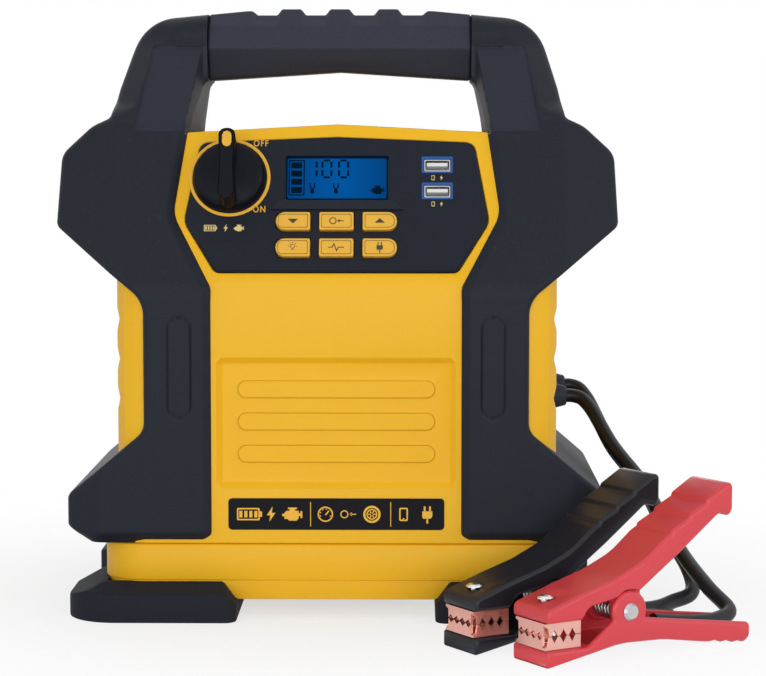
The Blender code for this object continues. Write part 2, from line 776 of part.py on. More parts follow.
def grip():
    """A rubber sleeve round the bar, with three lands on top for the palm and notches between them."""
    end_low = WINDOW_TOP_EDGE + (WINDOW_TOP - WINDOW_TOP_EDGE) * (1 - GRIP_HALF / WINDOW_X)
    end_top = HANDLE_TOP - BAR_END_DROP * (GRIP_HALF - BAR_FLAT) / (BAR_HALF - BAR_FLAT)
    floor, land = HANDLE_TOP - GRIP_NOTCH, HANDLE_TOP + GRIP_LAND
    slope = (GRIP_LAND_BASE - GRIP_LAND_TOP) / 2
    right = []
    for index in (0, 1):
        middle = index * GRIP_PITCH
        right += [(middle + GRIP_LAND_TOP / 2, land, 0.0), (middle + GRIP_LAND_BASE / 2, floor, 0.0)]
        right += [(middle + GRIP_PITCH - GRIP_LAND_BASE / 2, floor, 0.0)]
        if index == 0:
            right += [(middle + GRIP_PITCH - GRIP_LAND_TOP / 2, land, 0.0)]
    last = right[-1][0]
    right += [(last + slope, HANDLE_TOP, 0.0), (GRIP_HALF, end_top, 0.002), (GRIP_HALF, end_low, 0.002)]
    right += [(0.0, WINDOW_TOP, 0.0)]
    corners = both_sides(list(reversed(right)))
    sleeve = plate("handle_grip", [rounded(corners)], -0.05, 0.05, FRONT)
    outer = bar_section(0.0, WINDOW_TOP_EDGE - 0.001, land + 0.001)
    common(sleeve, plate("grip_section", [outer], -0.1, 0.1, SIDE))
    bore = bar_section(GAP - GRIP_SKIN, WINDOW_TOP, HANDLE_TOP - GRIP_NOTCH)
    cut(sleeve, plate("grip_bore", [bore], -0.1, 0.1, SIDE))
    return part(sleeve, RUBBER)


def housing_half(name, front):
    housing = housing_block(name, housing_outline(), 0.0, 0.0, 0.0)
    inner = housing_block(name + "_room", plain_housing_outline(), -HOUSING_WALL, -HOUSING_FRONT_WALL, 0.01)
    cut(housing, inner)
    cut(housing, half_space(name + "_split", front))
    return housing


def front_housing():
    housing = housing_half("front_housing", True)
    face = HOUSING_FRONT
    low, high = RECESS_LOW, RECESS_TOP
    recess = box("recess", (-RECESS_HALF, -face - RECESS_DEPTH, low), (RECESS_HALF, -face + RECESS_DEPTH, high))
    bevelled(recess, RECESS_SLANT)
    cut(housing, recess)
    for index in (-1, 0, 1):
        middle = BAND_MIDDLE + index * BAND_PITCH
        band = rectangle(2 * BAND_HALF, BAND_HEIGHT, 0, middle, BAND_HEIGHT / 2)
        floor = face - RECESS_DEPTH
        join(housing, plate("band", [band], floor - 0.001, floor + BAND_PROUD, FRONT))
    outline = grown(panel_outline(), GAP)
    cut(housing, plate("panel_pocket", [rounded(outline)], -PANEL_POCKET, BEYOND, SLOPE))
    ledge = grown(panel_outline(), -PANEL_LEDGE)
    cut(housing, plate("panel_window", [rounded(ledge)], -0.03, BEYOND / 2, SLOPE))
    return part(housing, YELLOW)


def rear_housing():
    housing = housing_half("rear_housing", False)
    rear_slope = REAR @ SLOPE
    lamp = rear_slope @ Matrix.Translation((0, LAMP_Y, 0))
    cut(housing, cylinder("lamp_hole", LAMP_RADIUS + GAP, -0.03, BEYOND, lamp, steps=24))
    cut(housing, cylinder("lamp_seat", LAMP_RADIUS + LAMP_LIP + GAP, -PANEL_POCKET, BEYOND, lamp, steps=24))
    rear_front = REAR @ FRONT
    inlet = rear_front @ Matrix.Translation((INLET_X, INLET_Z, 0))
    cut(housing, cylinder("inlet_hole", INLET_RADIUS + GAP, HOUSING_FRONT - 0.02, HOUSING_FRONT + BEYOND, inlet))
    hose = rear_front @ Matrix.Translation((HOSE_X, INLET_Z, 0))
    cut(housing, cylinder("hose_hole", HOSE_RADIUS + GAP, HOUSING_FRONT - 0.02, HOUSING_FRONT + BEYOND, hose))
    for gland in (RED_GLAND, BLACK_GLAND):
        bore = Matrix.Translation(gland) @ Matrix.Rotation(math.pi / 2, 4, "Y")
        cut(housing, cylinder("gland_hole", GLAND_RADIUS + GAP, -0.01, 0.01, bore))
    return part(housing, YELLOW)


def tray_loop(grow):
    return rectangle(2 * (TRAY_HALF + grow), 2 * (TRAY_DEPTH + grow), radius=TRAY_CORNER + grow)


def base_tray():
    """A tray whose side steps in between the feet."""
    tray = bevelled(plate("base_tray", [tray_loop(0.0)], TRAY_STEP, TRAY_TOP), 0.0012)
    lower = bevelled(plate("tray_base", [tray_loop(-TRAY_STEP_IN)], TRAY_LOW, TRAY_STEP + TRAY_WALL), 0.0012)
    join(tray, lower)
    cut(tray, plate("tray_room", [tray_loop(-TRAY_WALL)], TRAY_LOW + TRAY_WALL, TRAY_TOP + BEYOND))
    return part(tray, YELLOW)


def foot(name, sign):
    """A rubber foot under the tray's end, from front to rear, hollowed in the middle of its outer side."""
    corners = [
        (FOOT_INNER_X, -FOOT_DEPTH, 0.006),
        (FOOT_OUTER_X, -FOOT_DEPTH, FOOT_CORNER),
        (FOOT_OUTER_X, -FOOT_WAIST_LONG, 0.006),
        (TRAY_HALF + FOOT_WAIST_RIM, -FOOT_WAIST_SHORT, 0.010),
        (TRAY_HALF + FOOT_WAIST_RIM, FOOT_WAIST_SHORT, 0.010),
        (FOOT_OUTER_X, FOOT_WAIST_LONG, 0.006),
        (FOOT_OUTER_X, FOOT_DEPTH, FOOT_CORNER),
        (FOOT_INNER_X, FOOT_DEPTH, 0.006),
    ]
    if sign < 0:
        corners = [(-x, y, r) for x, y, r in reversed(corners)]
    shoe = plate(name, [rounded(corners)], 0, FOOT_TOP)
    side = both_sides([
        (FOOT_DEPTH + 0.001, 0, 0),
        (FOOT_DEPTH + 0.001, FOOT_FACE, 0.002),
        (TRAY_DEPTH - 0.002, FOOT_TOP + 0.0005, 0),
    ])
    common(shoe, plate(name + "_side", [rounded(side)], -0.16, 0.16, SIDE))
    front = [
        (FOOT_INNER_X - 0.002, -0.01, 0),
        (FOOT_OUTER_X + 0.001, -0.01, 0),
        (FOOT_OUTER_X + 0.001, FOOT_SIDE_FACE, 0.002),
        (TRAY_HALF - 0.002, FOOT_TOP + 0.0005, 0),
        (FOOT_INNER_X + FOOT_SLANT, FOOT_TOP + 0.0005, 0),
        (FOOT_INNER_X - 0.001, FOOT_FACE / 2, 0),
    ]
    if sign < 0:
        front = [(-x, z, r) for x, z, r in reversed(front)]
    common(shoe, plate(name + "_front", [rounded(front)], -0.12, 0.12, FRONT))
    cut(shoe, plate(name + "_tray", [tray_loop(GAP - TRAY_STEP_IN)], TRAY_LOW - GAP, TRAY_TOP))
    return part(shoe, RUBBER)


# ---------------------------------------------------------------- control panel


def screen_loop(grow):
    return rectangle(2 * (SCREEN_HALF + grow), SCREEN_HEIGHT + 2 * grow, 0, SCREEN_Y, 0.001)


def usb_loop(y, grow):
    return rectangle(USB_WIDTH + 2 * grow, USB_HEIGHT + 2 * grow, USB_X, y, 0.0004)


def button_loop(column, grow):
    """The outline of a button about its own middle: its outer side is half round in the end columns."""
    half, tall = BUTTON_WIDTH / 2 + grow, BUTTON_HEIGHT / 2 + grow
    small, large = 0.0008, tall * 0.98
    left = large if column < 0 else small
    right = large if column > 0 else small
    return rounded([(-half, -tall, left), (half, -tall, right), (half, tall, right), (-half, tall, left)])


def control_panel():
    loops = [rounded(panel_outline()), screen_loop(GAP)]
    loops += [usb_loop(y, GAP) for y in (USB_LOW, USB_HIGH)]
    loops.append(circle(SHAFT_RADIUS + GAP, KNOB_X, KNOB_Y))
    for column in (-1, 0, 1):
        for y in (BUTTON_ROW_LOW, BUTTON_ROW_HIGH):
            offset = Vector((column * BUTTON_PITCH, y))
            loops.append([point + offset for point in button_loop(column, BUTTON_SLIT)])
    panel = plate("control_panel", loops, -PANEL_POCKET + GAP, PANEL_PROUD, SLOPE)
    high = PANEL_TOP_EDGE - POST_INSET
    posts = [
        (BOARD_LEFT + POST_RADIUS + 0.0013, BOARD_LOW + 0.0045),
        (BOARD_RIGHT - POST_INSET - 0.0045, BOARD_LOW + POST_INSET + 0.0045),
        (BUTTON_PITCH + BUTTON_WIDTH / 2 + 0.0035, high),
        (BOARD_LEFT + POST_RADIUS + 0.0013, high),
    ]
    for x, y in posts:
        place = SLOPE @ Matrix.Translation((x, y, 0))
        post = cylinder("panel_post", POST_RADIUS, -BOARD_DEPTH + GAP, -0.001, place, steps=12)
        combine(panel, [post], "UNION", "MANIFOLD")
    return part(panel, PANEL_BLACK)


def display():
    low = -PANEL_POCKET + GAP
    lens = plate("display_lens", [screen_loop(0.0)], PANEL_PROUD - SCREEN_SET - SCREEN_THICK, PANEL_PROUD - SCREEN_SET, SLOPE)
    part(lens, LCD_BLUE)
    module = [rectangle(2 * (SCREEN_HALF + MODULE_MARGIN), SCREEN_HEIGHT + 2 * MODULE_MARGIN - GAP, 0, SCREEN_Y, 0.001)]
    body = plate("display_module", module, -BOARD_DEPTH + GAP, low - GAP, SLOPE)
    part(body, BOARD_GREEN)


def main_board():
    middle = (BOARD_LEFT + BOARD_RIGHT) / 2, (BOARD_LOW + BOARD_HIGH) / 2
    loops = [rectangle(BOARD_RIGHT - BOARD_LEFT, BOARD_HIGH - BOARD_LOW, *middle, 0.002)]
    board = plate("main_board", loops, -BOARD_DEPTH - BOARD_THICK, -BOARD_DEPTH, SLOPE)
    return part(board, BOARD_GREEN)


def usb_socket(label, y):
    """A metal shell with a closed back, and the white tongue inside it."""
    back = -BOARD_DEPTH + GAP
    shell = plate("usb_socket_" + label, [usb_loop(y, 0.0)], back, PANEL_PROUD - 0.0002, SLOPE)
    cut(shell, plate("usb_mouth", [usb_loop(y, -USB_WALL)], back + 0.001, BEYOND, SLOPE))
    part(shell, STEEL)
    tongue = rectangle(USB_TONGUE_WIDTH, USB_TONGUE, USB_X, y + 0.0008, 0.0003)
    core = plate("usb_tongue_" + label, [tongue], back + 0.001 + GAP, PANEL_PROUD - 0.001, SLOPE)
    part(core, WHITE)


def button(name, column, y):
    place = SLOPE @ Matrix.Translation((column * BUTTON_PITCH, y, 0))
    under = -PANEL_POCKET + GAP
    cap = plate(name, [button_loop(column, 0.0)], under - GAP - BUTTON_FLANGE / 2, PANEL_PROUD + BUTTON_PROUD, place, rounding=0.0)
    bevelled(cap, 0.0006)
    flange = plate(name + "_flange", [button_loop(column, BUTTON_SLIT + 0.0007)], under - GAP - BUTTON_FLANGE, under - GAP, place)
    join(cap, flange)
    stem_low = -BOARD_DEPTH + BUTTON_TRAVEL + 2 * GAP
    join(cap, cylinder(name + "_stem", 0.0022, stem_low, under - GAP - BUTTON_FLANGE / 2, place, steps=8))
    return part(cap, BUTTON_YELLOW)


def buttons():
    rows = (
        (BUTTON_ROW_HIGH, ("button_down", "button_air", "button_up")),
        (BUTTON_ROW_LOW, ("button_light", "button_test", "button_usb")),
    )
    for y, names in rows:
        for column, name in zip((-1, 0, 1), names):
            button(name, column, y)


def knob():
    place = SLOPE @ Matrix.Translation((KNOB_X, KNOB_Y, 0))
    low = PANEL_PROUD + KNOB_LIFT
    high = low + KNOB_HEIGHT
    skirt_top = low + KNOB_SKIRT
    profile = [
        (0, skirt_top + 0.0005),
        (KNOB_RADIUS - 0.0045, skirt_top + 0.0005),
        (KNOB_RADIUS - 0.0015, skirt_top - 0.001),
        (KNOB_RADIUS, low + 0.0015),
        (KNOB_RADIUS, low),
        (SHAFT_RADIUS, low),
        (SHAFT_RADIUS, -SHAFT_DEPTH),
        (0, -SHAFT_DEPTH),
    ]
    made = turned("knob", profile, place, steps=28)
    half_length, half_width, half_waist = RIDGE_LENGTH / 2, RIDGE_WIDTH / 2, RIDGE_WAIST / 2
    ridge_corners = [
        (half_width, -half_length, 0.0035),
        (half_waist, 0, 0.03),
        (half_width, half_length, 0.0035),
        (-half_width, half_length, 0.0035),
        (-half_waist, 0, 0.03),
        (-half_width, -half_length, 0.0035),
    ]
    ridge = plate("ridge", [rounded(ridge_corners)], skirt_top - 0.001, high, place)
    bevelled(ridge, 0.001)
    join(made, ridge)
    slot = rectangle(POINTER_WIDTH + 2 * GAP, POINTER_LENGTH + 2 * GAP, 0, POINTER_SHIFT, POINTER_WIDTH / 2 + GAP)
    cut(made, plate("pointer_slot", [slot], high - 0.001, high + 0.01, place))
    part(made, PANEL_BLACK)
    inlay = rectangle(POINTER_WIDTH, POINTER_LENGTH, 0, POINTER_SHIFT, POINTER_WIDTH / 2)
    pointer = plate("knob_pointer", [inlay], high - 0.001 + GAP, high + 0.0003, place)
    part(pointer, YELLOW)


def switch_body():
    under = -PANEL_POCKET
    place = SLOPE @ Matrix.Translation((KNOB_X, KNOB_Y, 0))
    half = SWITCH_SIZE / 2
    made = box("switch_body", (-half, -half, under - SWITCH_DEPTH), (half, half, under), place, edge=0.001)
    cut(made, cylinder("switch_bore", SHAFT_RADIUS + GAP, -SHAFT_DEPTH - GAP, BEYOND, place))
    return part(made, DARK_PLASTIC)


# ---------------------------------------------------------------- inside


def battery():
    floor = TRAY_LOW + TRAY_WALL + GAP
    low = (-BATTERY_HALF, BATTERY_BACK - BATTERY_DEEP, floor)
    high = (BATTERY_HALF, BATTERY_BACK, floor + BATTERY_HEIGHT)
    part(box("battery", low, high, edge=0.002), DARK_PLASTIC)
    for name, sign in (("battery_terminal_plus", 1), ("battery_terminal_minus", -1)):
        half = TERMINAL_SIZE / 2
        x, y, z = sign * TERMINAL_X, BATTERY_BACK - 0.016, high[2] + GAP
        post = box(name, (x - half, y - half, z), (x + half, y + half, z + TERMINAL_HEIGHT), edge=0.001)
        cut(post, cylinder("bolt_hole", 0.003, z + 0.002, z + 0.02, Matrix.Translation((x, y, 0)), steps=12))
        part(post, STEEL)


def compressor():
    """A motor along X drives a crankcase with a finned cylinder on top; a fan cools the motor's far end."""
    axis = Matrix.Translation((MOTOR_END_X, COMPRESSOR_Y, COMPRESSOR_Z)) @ Matrix.Rotation(-math.pi / 2, 4, "Y")
    shell = [
        (0, MOTOR_LENGTH),
        (MOTOR_RADIUS - 0.002, MOTOR_LENGTH),
        (MOTOR_RADIUS, MOTOR_LENGTH - 0.002),
        (MOTOR_RADIUS, 0),
        (0, 0),
    ]
    motor = turned("compressor_motor", shell, axis)
    join(motor, cylinder("motor_shaft", FAN_AXLE, MOTOR_LENGTH - 0.001, MOTOR_LENGTH + FAN_AWAY + FAN_DEPTH, axis, steps=12))
    part(motor, STEEL)
    low_z = TRAY_LOW + TRAY_WALL + GAP
    half = CRANKCASE_HALF
    x = MOTOR_END_X + GAP
    top = COMPRESSOR_Z + half
    case = box("compressor_crankcase", (x, COMPRESSOR_Y - half, COMPRESSOR_Z - half), (x + CRANKCASE_LENGTH, COMPRESSOR_Y + half, top), edge=0.003)
    stand = box("crankcase_stand", (x + 0.004, COMPRESSOR_Y - half - 0.004, low_z), (x + CRANKCASE_LENGTH - 0.004, COMPRESSOR_Y + half + 0.004, COMPRESSOR_Z - half + 0.006))
    part(join(case, stand), ALUMINIUM)
    profile = [(0, CYLINDER_HEIGHT), (CYLINDER_RADIUS, CYLINDER_HEIGHT)]
    pitch = CYLINDER_HEIGHT / (FIN_COUNT + 1)
    for fin in range(FIN_COUNT):
        middle = CYLINDER_HEIGHT - (fin + 0.75) * pitch
        profile += [
            (CYLINDER_RADIUS, middle + pitch / 4),
            (FIN_RADIUS, middle + pitch / 6),
            (FIN_RADIUS, middle - pitch / 6),
            (CYLINDER_RADIUS, middle - pitch / 4),
        ]
    profile += [(CYLINDER_RADIUS, 0), (0, 0)]
    seat = Matrix.Translation((x + CRANKCASE_LENGTH / 2, COMPRESSOR_Y, top + GAP))
    part(turned("compressor_cylinder", profile, seat, steps=12), ALUMINIUM)
    fan()


def fan():
    start = MOTOR_LENGTH + FAN_AWAY
    place = Matrix.Translation((MOTOR_END_X, COMPRESSOR_Y, COMPRESSOR_Z)) @ Matrix.Rotation(-math.pi / 2, 4, "Y")
    hub = cylinder("compressor_fan", 0.006, start, start + FAN_DEPTH, place)
    for blade in range(FAN_BLADES):
        turn = Matrix.Rotation(2 * math.pi * blade / FAN_BLADES, 4, "Z")
        pitch = Matrix.Rotation(math.radians(35), 4, "X")
        middle = Matrix.Translation((0, 0, start + FAN_DEPTH / 2))
        vane = box("vane", (0.004, -0.0055, -0.0007), (FAN_RADIUS, 0.0055, 0.0007), place @ turn @ middle @ pitch)
        join(hub, vane)
    cut(hub, cylinder("fan_bore", FAN_AXLE + GAP, start - 0.01, start + 0.03, place, steps=12))
    return part(hub, DARK_PLASTIC)


# ---------------------------------------------------------------- rear face


def lamp():
    place = REAR @ SLOPE @ Matrix.Translation((0, LAMP_Y, 0))
    lip = LAMP_RADIUS + LAMP_LIP
    lens = [
        (0, 0.004),
        (LAMP_RADIUS * 0.6, 0.0032),
        (LAMP_RADIUS, 0.0012),
        (lip, 0.0006),
        (lip, -PANEL_POCKET + GAP),
        (0, -PANEL_POCKET + GAP),
    ]
    part(turned("lamp_lens", lens, place, steps=24), CLEAR)
    front = -PANEL_POCKET
    bowl = [
        (0, front - 0.0148),
        (LAMP_RADIUS * 0.3 - 0.0005, front - 0.0148),
        (LAMP_RADIUS * 0.75 - 0.001, front - 0.009),
        (LAMP_RADIUS - 0.0015, front - 0.0015),
        (LAMP_RADIUS - 0.0015, front),
        (LAMP_RADIUS, front),
        (LAMP_RADIUS, front - 0.002),
        (LAMP_RADIUS * 0.75, front - 0.010),
        (LAMP_RADIUS * 0.3, front - 0.016),
        (0, front - 0.016),
    ]
    return part(turned("lamp_reflector", bowl, place, steps=24), CHROME)


def rear_fittings():
    rear_front = REAR @ FRONT
    inlet = rear_front @ Matrix.Translation((INLET_X, INLET_Z, HOUSING_FRONT))
    flange = INLET_RADIUS + 0.003
    socket = [
        (0, -INLET_DEPTH + 0.002),
        (INLET_BORE, -INLET_DEPTH + 0.002),
        (INLET_BORE, INLET_LIP),
        (flange, INLET_LIP),
        (flange, GAP),
        (INLET_RADIUS, GAP),
        (INLET_RADIUS, -INLET_DEPTH),
        (0, -INLET_DEPTH),
    ]
    body = turned("charge_inlet", socket, inlet)
    knuckle = (0, flange + HINGE_AWAY, INLET_LIP + HINGE_HEIGHT)
    across = inlet @ Matrix.Translation(knuckle) @ Matrix.Rotation(math.pi / 2, 4, "Y")
    reach = knuckle[1] + HINGE_RADIUS
    join(body, box("hinge_base", (-LUG_OUT, INLET_BORE + 0.001, GAP), (LUG_OUT, reach, INLET_LIP), inlet))
    for low, high in ((LUG_IN, LUG_OUT), (-LUG_OUT, -LUG_IN)):
        lug = box("lug", (low, flange + GAP, GAP + 0.001), (high, reach, knuckle[2] + HINGE_RADIUS), inlet)
        join(body, lug)
    join(body, cylinder("hinge_pin", HINGE_PIN, -LUG_IN - 0.001, LUG_IN + 0.001, across, steps=12))
    part(body, DARK_PLASTIC)
    cover_low = INLET_LIP + GAP
    cover_high = cover_low + COVER_THICK
    cover = plate("charge_cover", [circle(flange)], cover_low, cover_high, inlet)
    width = 2 * (LUG_IN - GAP)
    tab_low = flange - 0.004
    tab = rectangle(width, knuckle[1] - tab_low, 0, (knuckle[1] + tab_low) / 2)
    join(cover, plate("cover_tab", [tab], cover_low, cover_high, inlet))
    join(cover, cylinder("cover_barrel", HINGE_RADIUS, -width / 2, width / 2, across, steps=16))
    cut(cover, cylinder("barrel_bore", HINGE_PIN + GAP, -LUG_OUT, LUG_OUT, across, steps=16))
    part(cover, RUBBER)
    hose = rear_front @ Matrix.Translation((HOSE_X, INLET_Z, HOUSING_FRONT))
    nipple = [
        (0, 0.014),
        (0.0035, 0.014),
        (0.0045, 0.0125),
        (0.0045, 0.0035),
        (HOSE_RADIUS + 0.002, 0.0035),
        (HOSE_RADIUS + 0.002, GAP),
        (HOSE_RADIUS, GAP),
        (HOSE_RADIUS, -0.012),
        (0, -0.012),
    ]
    part(turned("hose_outlet", nipple, hose, steps=22), BRASS)


# ---------------------------------------------------------------- clamps


def lower_half(prefix, finish, parent):
    corners = [
        (0.0006, 0.0, 0.001),
        (0.020, 0.0034, 0.03),
        (0.043, 0.0075, 0.03),
        (0.068, 0.0068, 0.03),
        (0.092, 0.0030, 0.03),
        *finger_waves((0.0955, 0.0026), (0.1165, 0.0)),
        (0.1165, 0.0, 0.003),
        (0.120, 0.003, 0.003),
        (0.120, 0.0097, 0.002),
        *arc(PIVOT_S, PIVOT_Z, BOSS_RADIUS, -22, 200),
        (0.0235, JAW_LOW - GAP, 0.003),
        (0.0006, JAW_LOW - GAP, 0.001),
    ]
    half = plate(prefix + "_lower_handle", [rounded(corners)], -CLAMP_HALF, CLAMP_HALF, FRONT, parent, 0.0012)
    room = [
        (0.0250, 0.0062, 0),
        (0.043, 0.0075 + CLAMP_FLOOR, 0.02),
        (0.068, 0.0068 + CLAMP_FLOOR, 0.02),
        (0.092, 0.0030 + CLAMP_FLOOR, 0.02),
        (0.125, 0.0016 + CLAMP_FLOOR, 0),
        (0.125, 0.06, 0),
        (0.0250, 0.06, 0),
    ]
    inner = CLAMP_HALF - CLAMP_WALL
    cut(half, plate(prefix + "_lower_room", [rounded(room)], -inner, inner, FRONT, parent))
    cut(half, pivot_bore(prefix + "_lower", parent))
    hole = Matrix.Translation((RIVET_S, 0, 0))
    cut(half, cylinder(prefix + "_rivet_hole", RIVET_RADIUS + GAP, 0.003, 0.03, hole, parent, 12))
    return part(half, finish)


def finger_steps(end, start):
    """Corners of the steps across the upper handle's back, listed from its end towards the jaws."""
    end = Vector(end)
    along = (Vector(start) - end).normalized()
    out = Vector((along.y, -along.x)) * STEP_DEPTH / 2
    corners = []
    for step in range(STEP_COUNT):
        edge = end + along * (STEP_FIRST + step * STEP_PITCH)
        corners += [(*(edge + out), 0.0), (*(edge + along * STEP_DEPTH - out), 0.0)]
    return corners


def finger_waves(start, end):
    """Corners of the shallow waves under the lower handle: crests on the line and hollows above it."""
    start, end = Vector(start), Vector(end)
    corners = []
    for step in range(2 * STEP_COUNT):
        place = start.lerp(end, step / (2 * STEP_COUNT))
        rise = 0.7 * STEP_DEPTH if step % 2 else 0.0
        corners.append((place.x, place.y + rise, 0.0))
    return corners


def pivot_bore(name, parent):
    across = Matrix.Translation((PIVOT_S, 0, PIVOT_Z)) @ FRONT
    return cylinder(name + "_bore", PIN_RADIUS + GAP, -0.03, 0.03, across, parent, 16)


def upper_half(prefix, finish, parent):
    low = 2 * JAW_MEET - JAW_LOW + GAP
    corners = [
        (0.0006, low, 0.001),
        (0.0205, low, 0.002),
        (0.0245, 0.0265, 0.004),
        (0.0535, 0.0315, 0.004),
        (0.0765, 0.047, 0.03),
        (0.1005, 0.0645, 0.004),
        (0.1065, 0.0625, 0.002),
        (0.1085, 0.066, 0.002),
        (0.1085, 0.0785, 0.0035),
        (0.1050, 0.0787, 0.004),
        *finger_steps((0.1050, 0.0787), (0.069, 0.056)),
        (0.069, 0.056, 0.03),
        (0.056, 0.0458, 0.02),
        (0.040, 0.039, 0.03),
        (0.021, 0.0336, 0.03),
        (0.0006, 0.0270, 0.003),
    ]
    half = plate(prefix + "_upper_handle", [rounded(corners)], -CLAMP_HALF, CLAMP_HALF, FRONT, parent, 0.0012)
    inner = CLAMP_HALF - CLAMP_WALL
    room = [
        (0.0250, 0.010, 0),
        (0.1035, 0.010, 0),
        (0.1035, 0.0740, 0.002),
        (0.0955, 0.0684, 0.02),
        (0.070, 0.0534, 0.03),
        (0.0565, 0.0430, 0.02),
        (0.040, 0.0364, 0.03),
        (0.0250, 0.0322, 0),
    ]
    cut(half, plate(prefix + "_upper_room", [rounded(room)], -inner, inner, FRONT, parent))
    pivot = Matrix.Translation((PIVOT_S, 0, PIVOT_Z)) @ FRONT
    for low_n, high_n in ((inner - 0.0008, 0.03), (-0.03, -inner + 0.0008)):
        cut(half, cylinder(prefix + "_relief", BOSS_RADIUS + 2 * GAP, low_n, high_n, pivot, parent, 40))
    ear = arc(PIVOT_S, PIVOT_Z, EAR_RADIUS, 180, 360)
    ear += [(PIVOT_S + EAR_RADIUS, 0.0425, 0), (PIVOT_S - EAR_RADIUS, 0.0375, 0)]
    outer = inner - 2 * GAP
    for low_n, high_n in ((outer - EAR_THICK, outer), (-outer, -outer + EAR_THICK)):
        join(half, plate(prefix + "_ear", [rounded(ear)], low_n, high_n, FRONT, parent))
    cut(half, pivot_bore(prefix + "_upper", parent))
    hole = Matrix.Translation((RIVET_S, 0, 0))
    cut(half, cylinder(prefix + "_upper_hole", RIVET_RADIUS + GAP, 0.01, 0.05, hole, parent, 12))
    cut(half, cylinder(prefix + "_head_seat", RIVET_HEAD + 2 * GAP, RIVET_SEAT, 0.05, hole, parent, 24))
    return part(half, finish)


def jaw(name, parent, upper):
    """A bent copper sheet: a floor with notched flaps at its sides and small teeth at its front."""
    flip = Matrix.Translation((0, 0, 2 * JAW_MEET)) @ Matrix.Rotation(math.pi, 4, "X") if upper else Matrix()
    top = JAW_MEET - GAP / 2
    start, end = 0.0008, 0.0008 + JAW_LENGTH
    floor = box(name, (start, -JAW_HALF, JAW_LOW), (end, JAW_HALF, JAW_LOW + JAW_SHEET), flip, parent)
    flap = [(start + 0.0006, JAW_LOW), (end, JAW_LOW), (end, top)]
    for notch in (2, 1, 0):
        middle = start + 0.0052 + notch * 0.005
        flap += [(middle + 0.0018, top), (middle, top - TOOTH_DEPTH), (middle - 0.0018, top)]
    flap += [(start + 0.0024, top), (start + 0.0016, JAW_LOW + 0.0018), (start + 0.0006, JAW_LOW + 0.0018)]
    loop = [Vector(point) for point in flap]
    for low, high in ((JAW_HALF - JAW_SHEET, JAW_HALF), (-JAW_HALF, -JAW_HALF + JAW_SHEET)):
        join(floor, plate(name + "_flap", [loop], low, high, flip @ FRONT, parent))
    teeth = [(-JAW_HALF + 0.002, JAW_LOW + 0.0001), (JAW_HALF - 0.002, JAW_LOW + 0.0001)]
    pitch = (2 * JAW_HALF - 0.004) / 4
    for tooth in range(4):
        right = JAW_HALF - 0.002 - tooth * pitch
        teeth += [(right - 0.0004, top), (right - pitch / 2, top - 0.0018)]
    teeth += [(-JAW_HALF + 0.0024, top)]
    loop = [Vector(point) for point in teeth]
    across = flip @ Matrix.Translation((start, 0, 0)) @ SIDE
    join(floor, plate(name + "_teeth", [loop], 0.0, JAW_SHEET, across, parent))
    hole = Matrix.Translation((RIVET_S, 0, 0))
    cut(floor, cylinder(name + "_hole", RIVET_RADIUS + GAP, 0, 0.05, hole, parent, 12))
    return part(floor, COPPER)


def pivot_pin(name, parent):
    end = CLAMP_HALF + GAP
    profile = [
        (0, end + PIN_HEAD_THICK),
        (PIN_HEAD - 0.001, end + PIN_HEAD_THICK),
        (PIN_HEAD, end),
        (PIN_RADIUS, end),
        (PIN_RADIUS, -end),
        (PIN_HEAD, -end),
        (PIN_HEAD - 0.001, -end - PIN_HEAD_THICK),
        (0, -end - PIN_HEAD_THICK),
    ]
    across = Matrix.Translation((PIVOT_S, 0, PIVOT_Z)) @ FRONT
    return part(turned(name, profile, across, parent, 16), STEEL)


def rivets(prefix, parent):
    place = Matrix.Translation((RIVET_S, 0, 0))
    jaw_floor = JAW_LOW + JAW_SHEET
    low = [
        (0, jaw_floor + GAP + 0.001),
        (RIVET_HEAD - 0.001, jaw_floor + GAP + 0.001),
        (RIVET_HEAD, jaw_floor + GAP),
        (RIVET_RADIUS, jaw_floor + GAP),
        (RIVET_RADIUS, 0.003 + GAP),
        (0, 0.003 + GAP),
    ]
    part(turned(prefix + "_lower_rivet", low, place, parent, 12), CHROME)
    seat = RIVET_SEAT + GAP
    jaw_roof = 2 * JAW_MEET - jaw_floor - GAP
    high = [
        (0, seat + 0.0016),
        (RIVET_HEAD * 0.6, seat + 0.0014),
        (RIVET_HEAD, seat + 0.0004),
        (RIVET_HEAD, seat),
        (RIVET_RADIUS, seat),
        (RIVET_RADIUS, jaw_roof),
        (RIVET_HEAD - 0.0005, jaw_roof),
        (RIVET_HEAD - 0.001, jaw_roof - 0.001),
        (0, jaw_roof - 0.001),
    ]
    part(turned(prefix + "_upper_rivet", high, place, parent, 16), CHROME)


def spring(name, parent):
    """A torsion spring round the pin: its coil between the ears, and a leg under each handle."""
    points = []
    length = SPRING_TURNS * SPRING_PITCH
    start_turn = math.radians(-110.7)
    end_turn = math.radians(140) - 2 * math.pi * (SPRING_TURNS + 1)
    steps = round(9 * abs(end_turn - start_turn) / (2 * math.pi))
    for step in range(steps + 1):
        share = step / steps
        turn = start_turn + (end_turn - start_turn) * share
        radial = Vector((math.cos(turn), 0, math.sin(turn))) * SPRING_RADIUS
        points.append(Vector((PIVOT_S, length * (share - 0.5), PIVOT_Z)) + radial)
    lower_leg = Vector((-math.sin(start_turn), 0, math.cos(start_turn))) * SPRING_LOWER_LEG
    upper_leg = Vector((math.sin(end_turn), 0, -math.cos(end_turn))) * SPRING_UPPER_LEG
    points = [points[0] + lower_leg] + points + [points[-1] + upper_leg]
    least = min((a - b).length for index, a in enumerate(points) for b in points[index + 5:])
    print(f"{name}: least gap between its turns {1000 * (least - 2 * SPRING_WIRE):.2f} mm")
    return part(tube(name, points, SPRING_WIRE, parent=parent, resolution=1), STEEL)


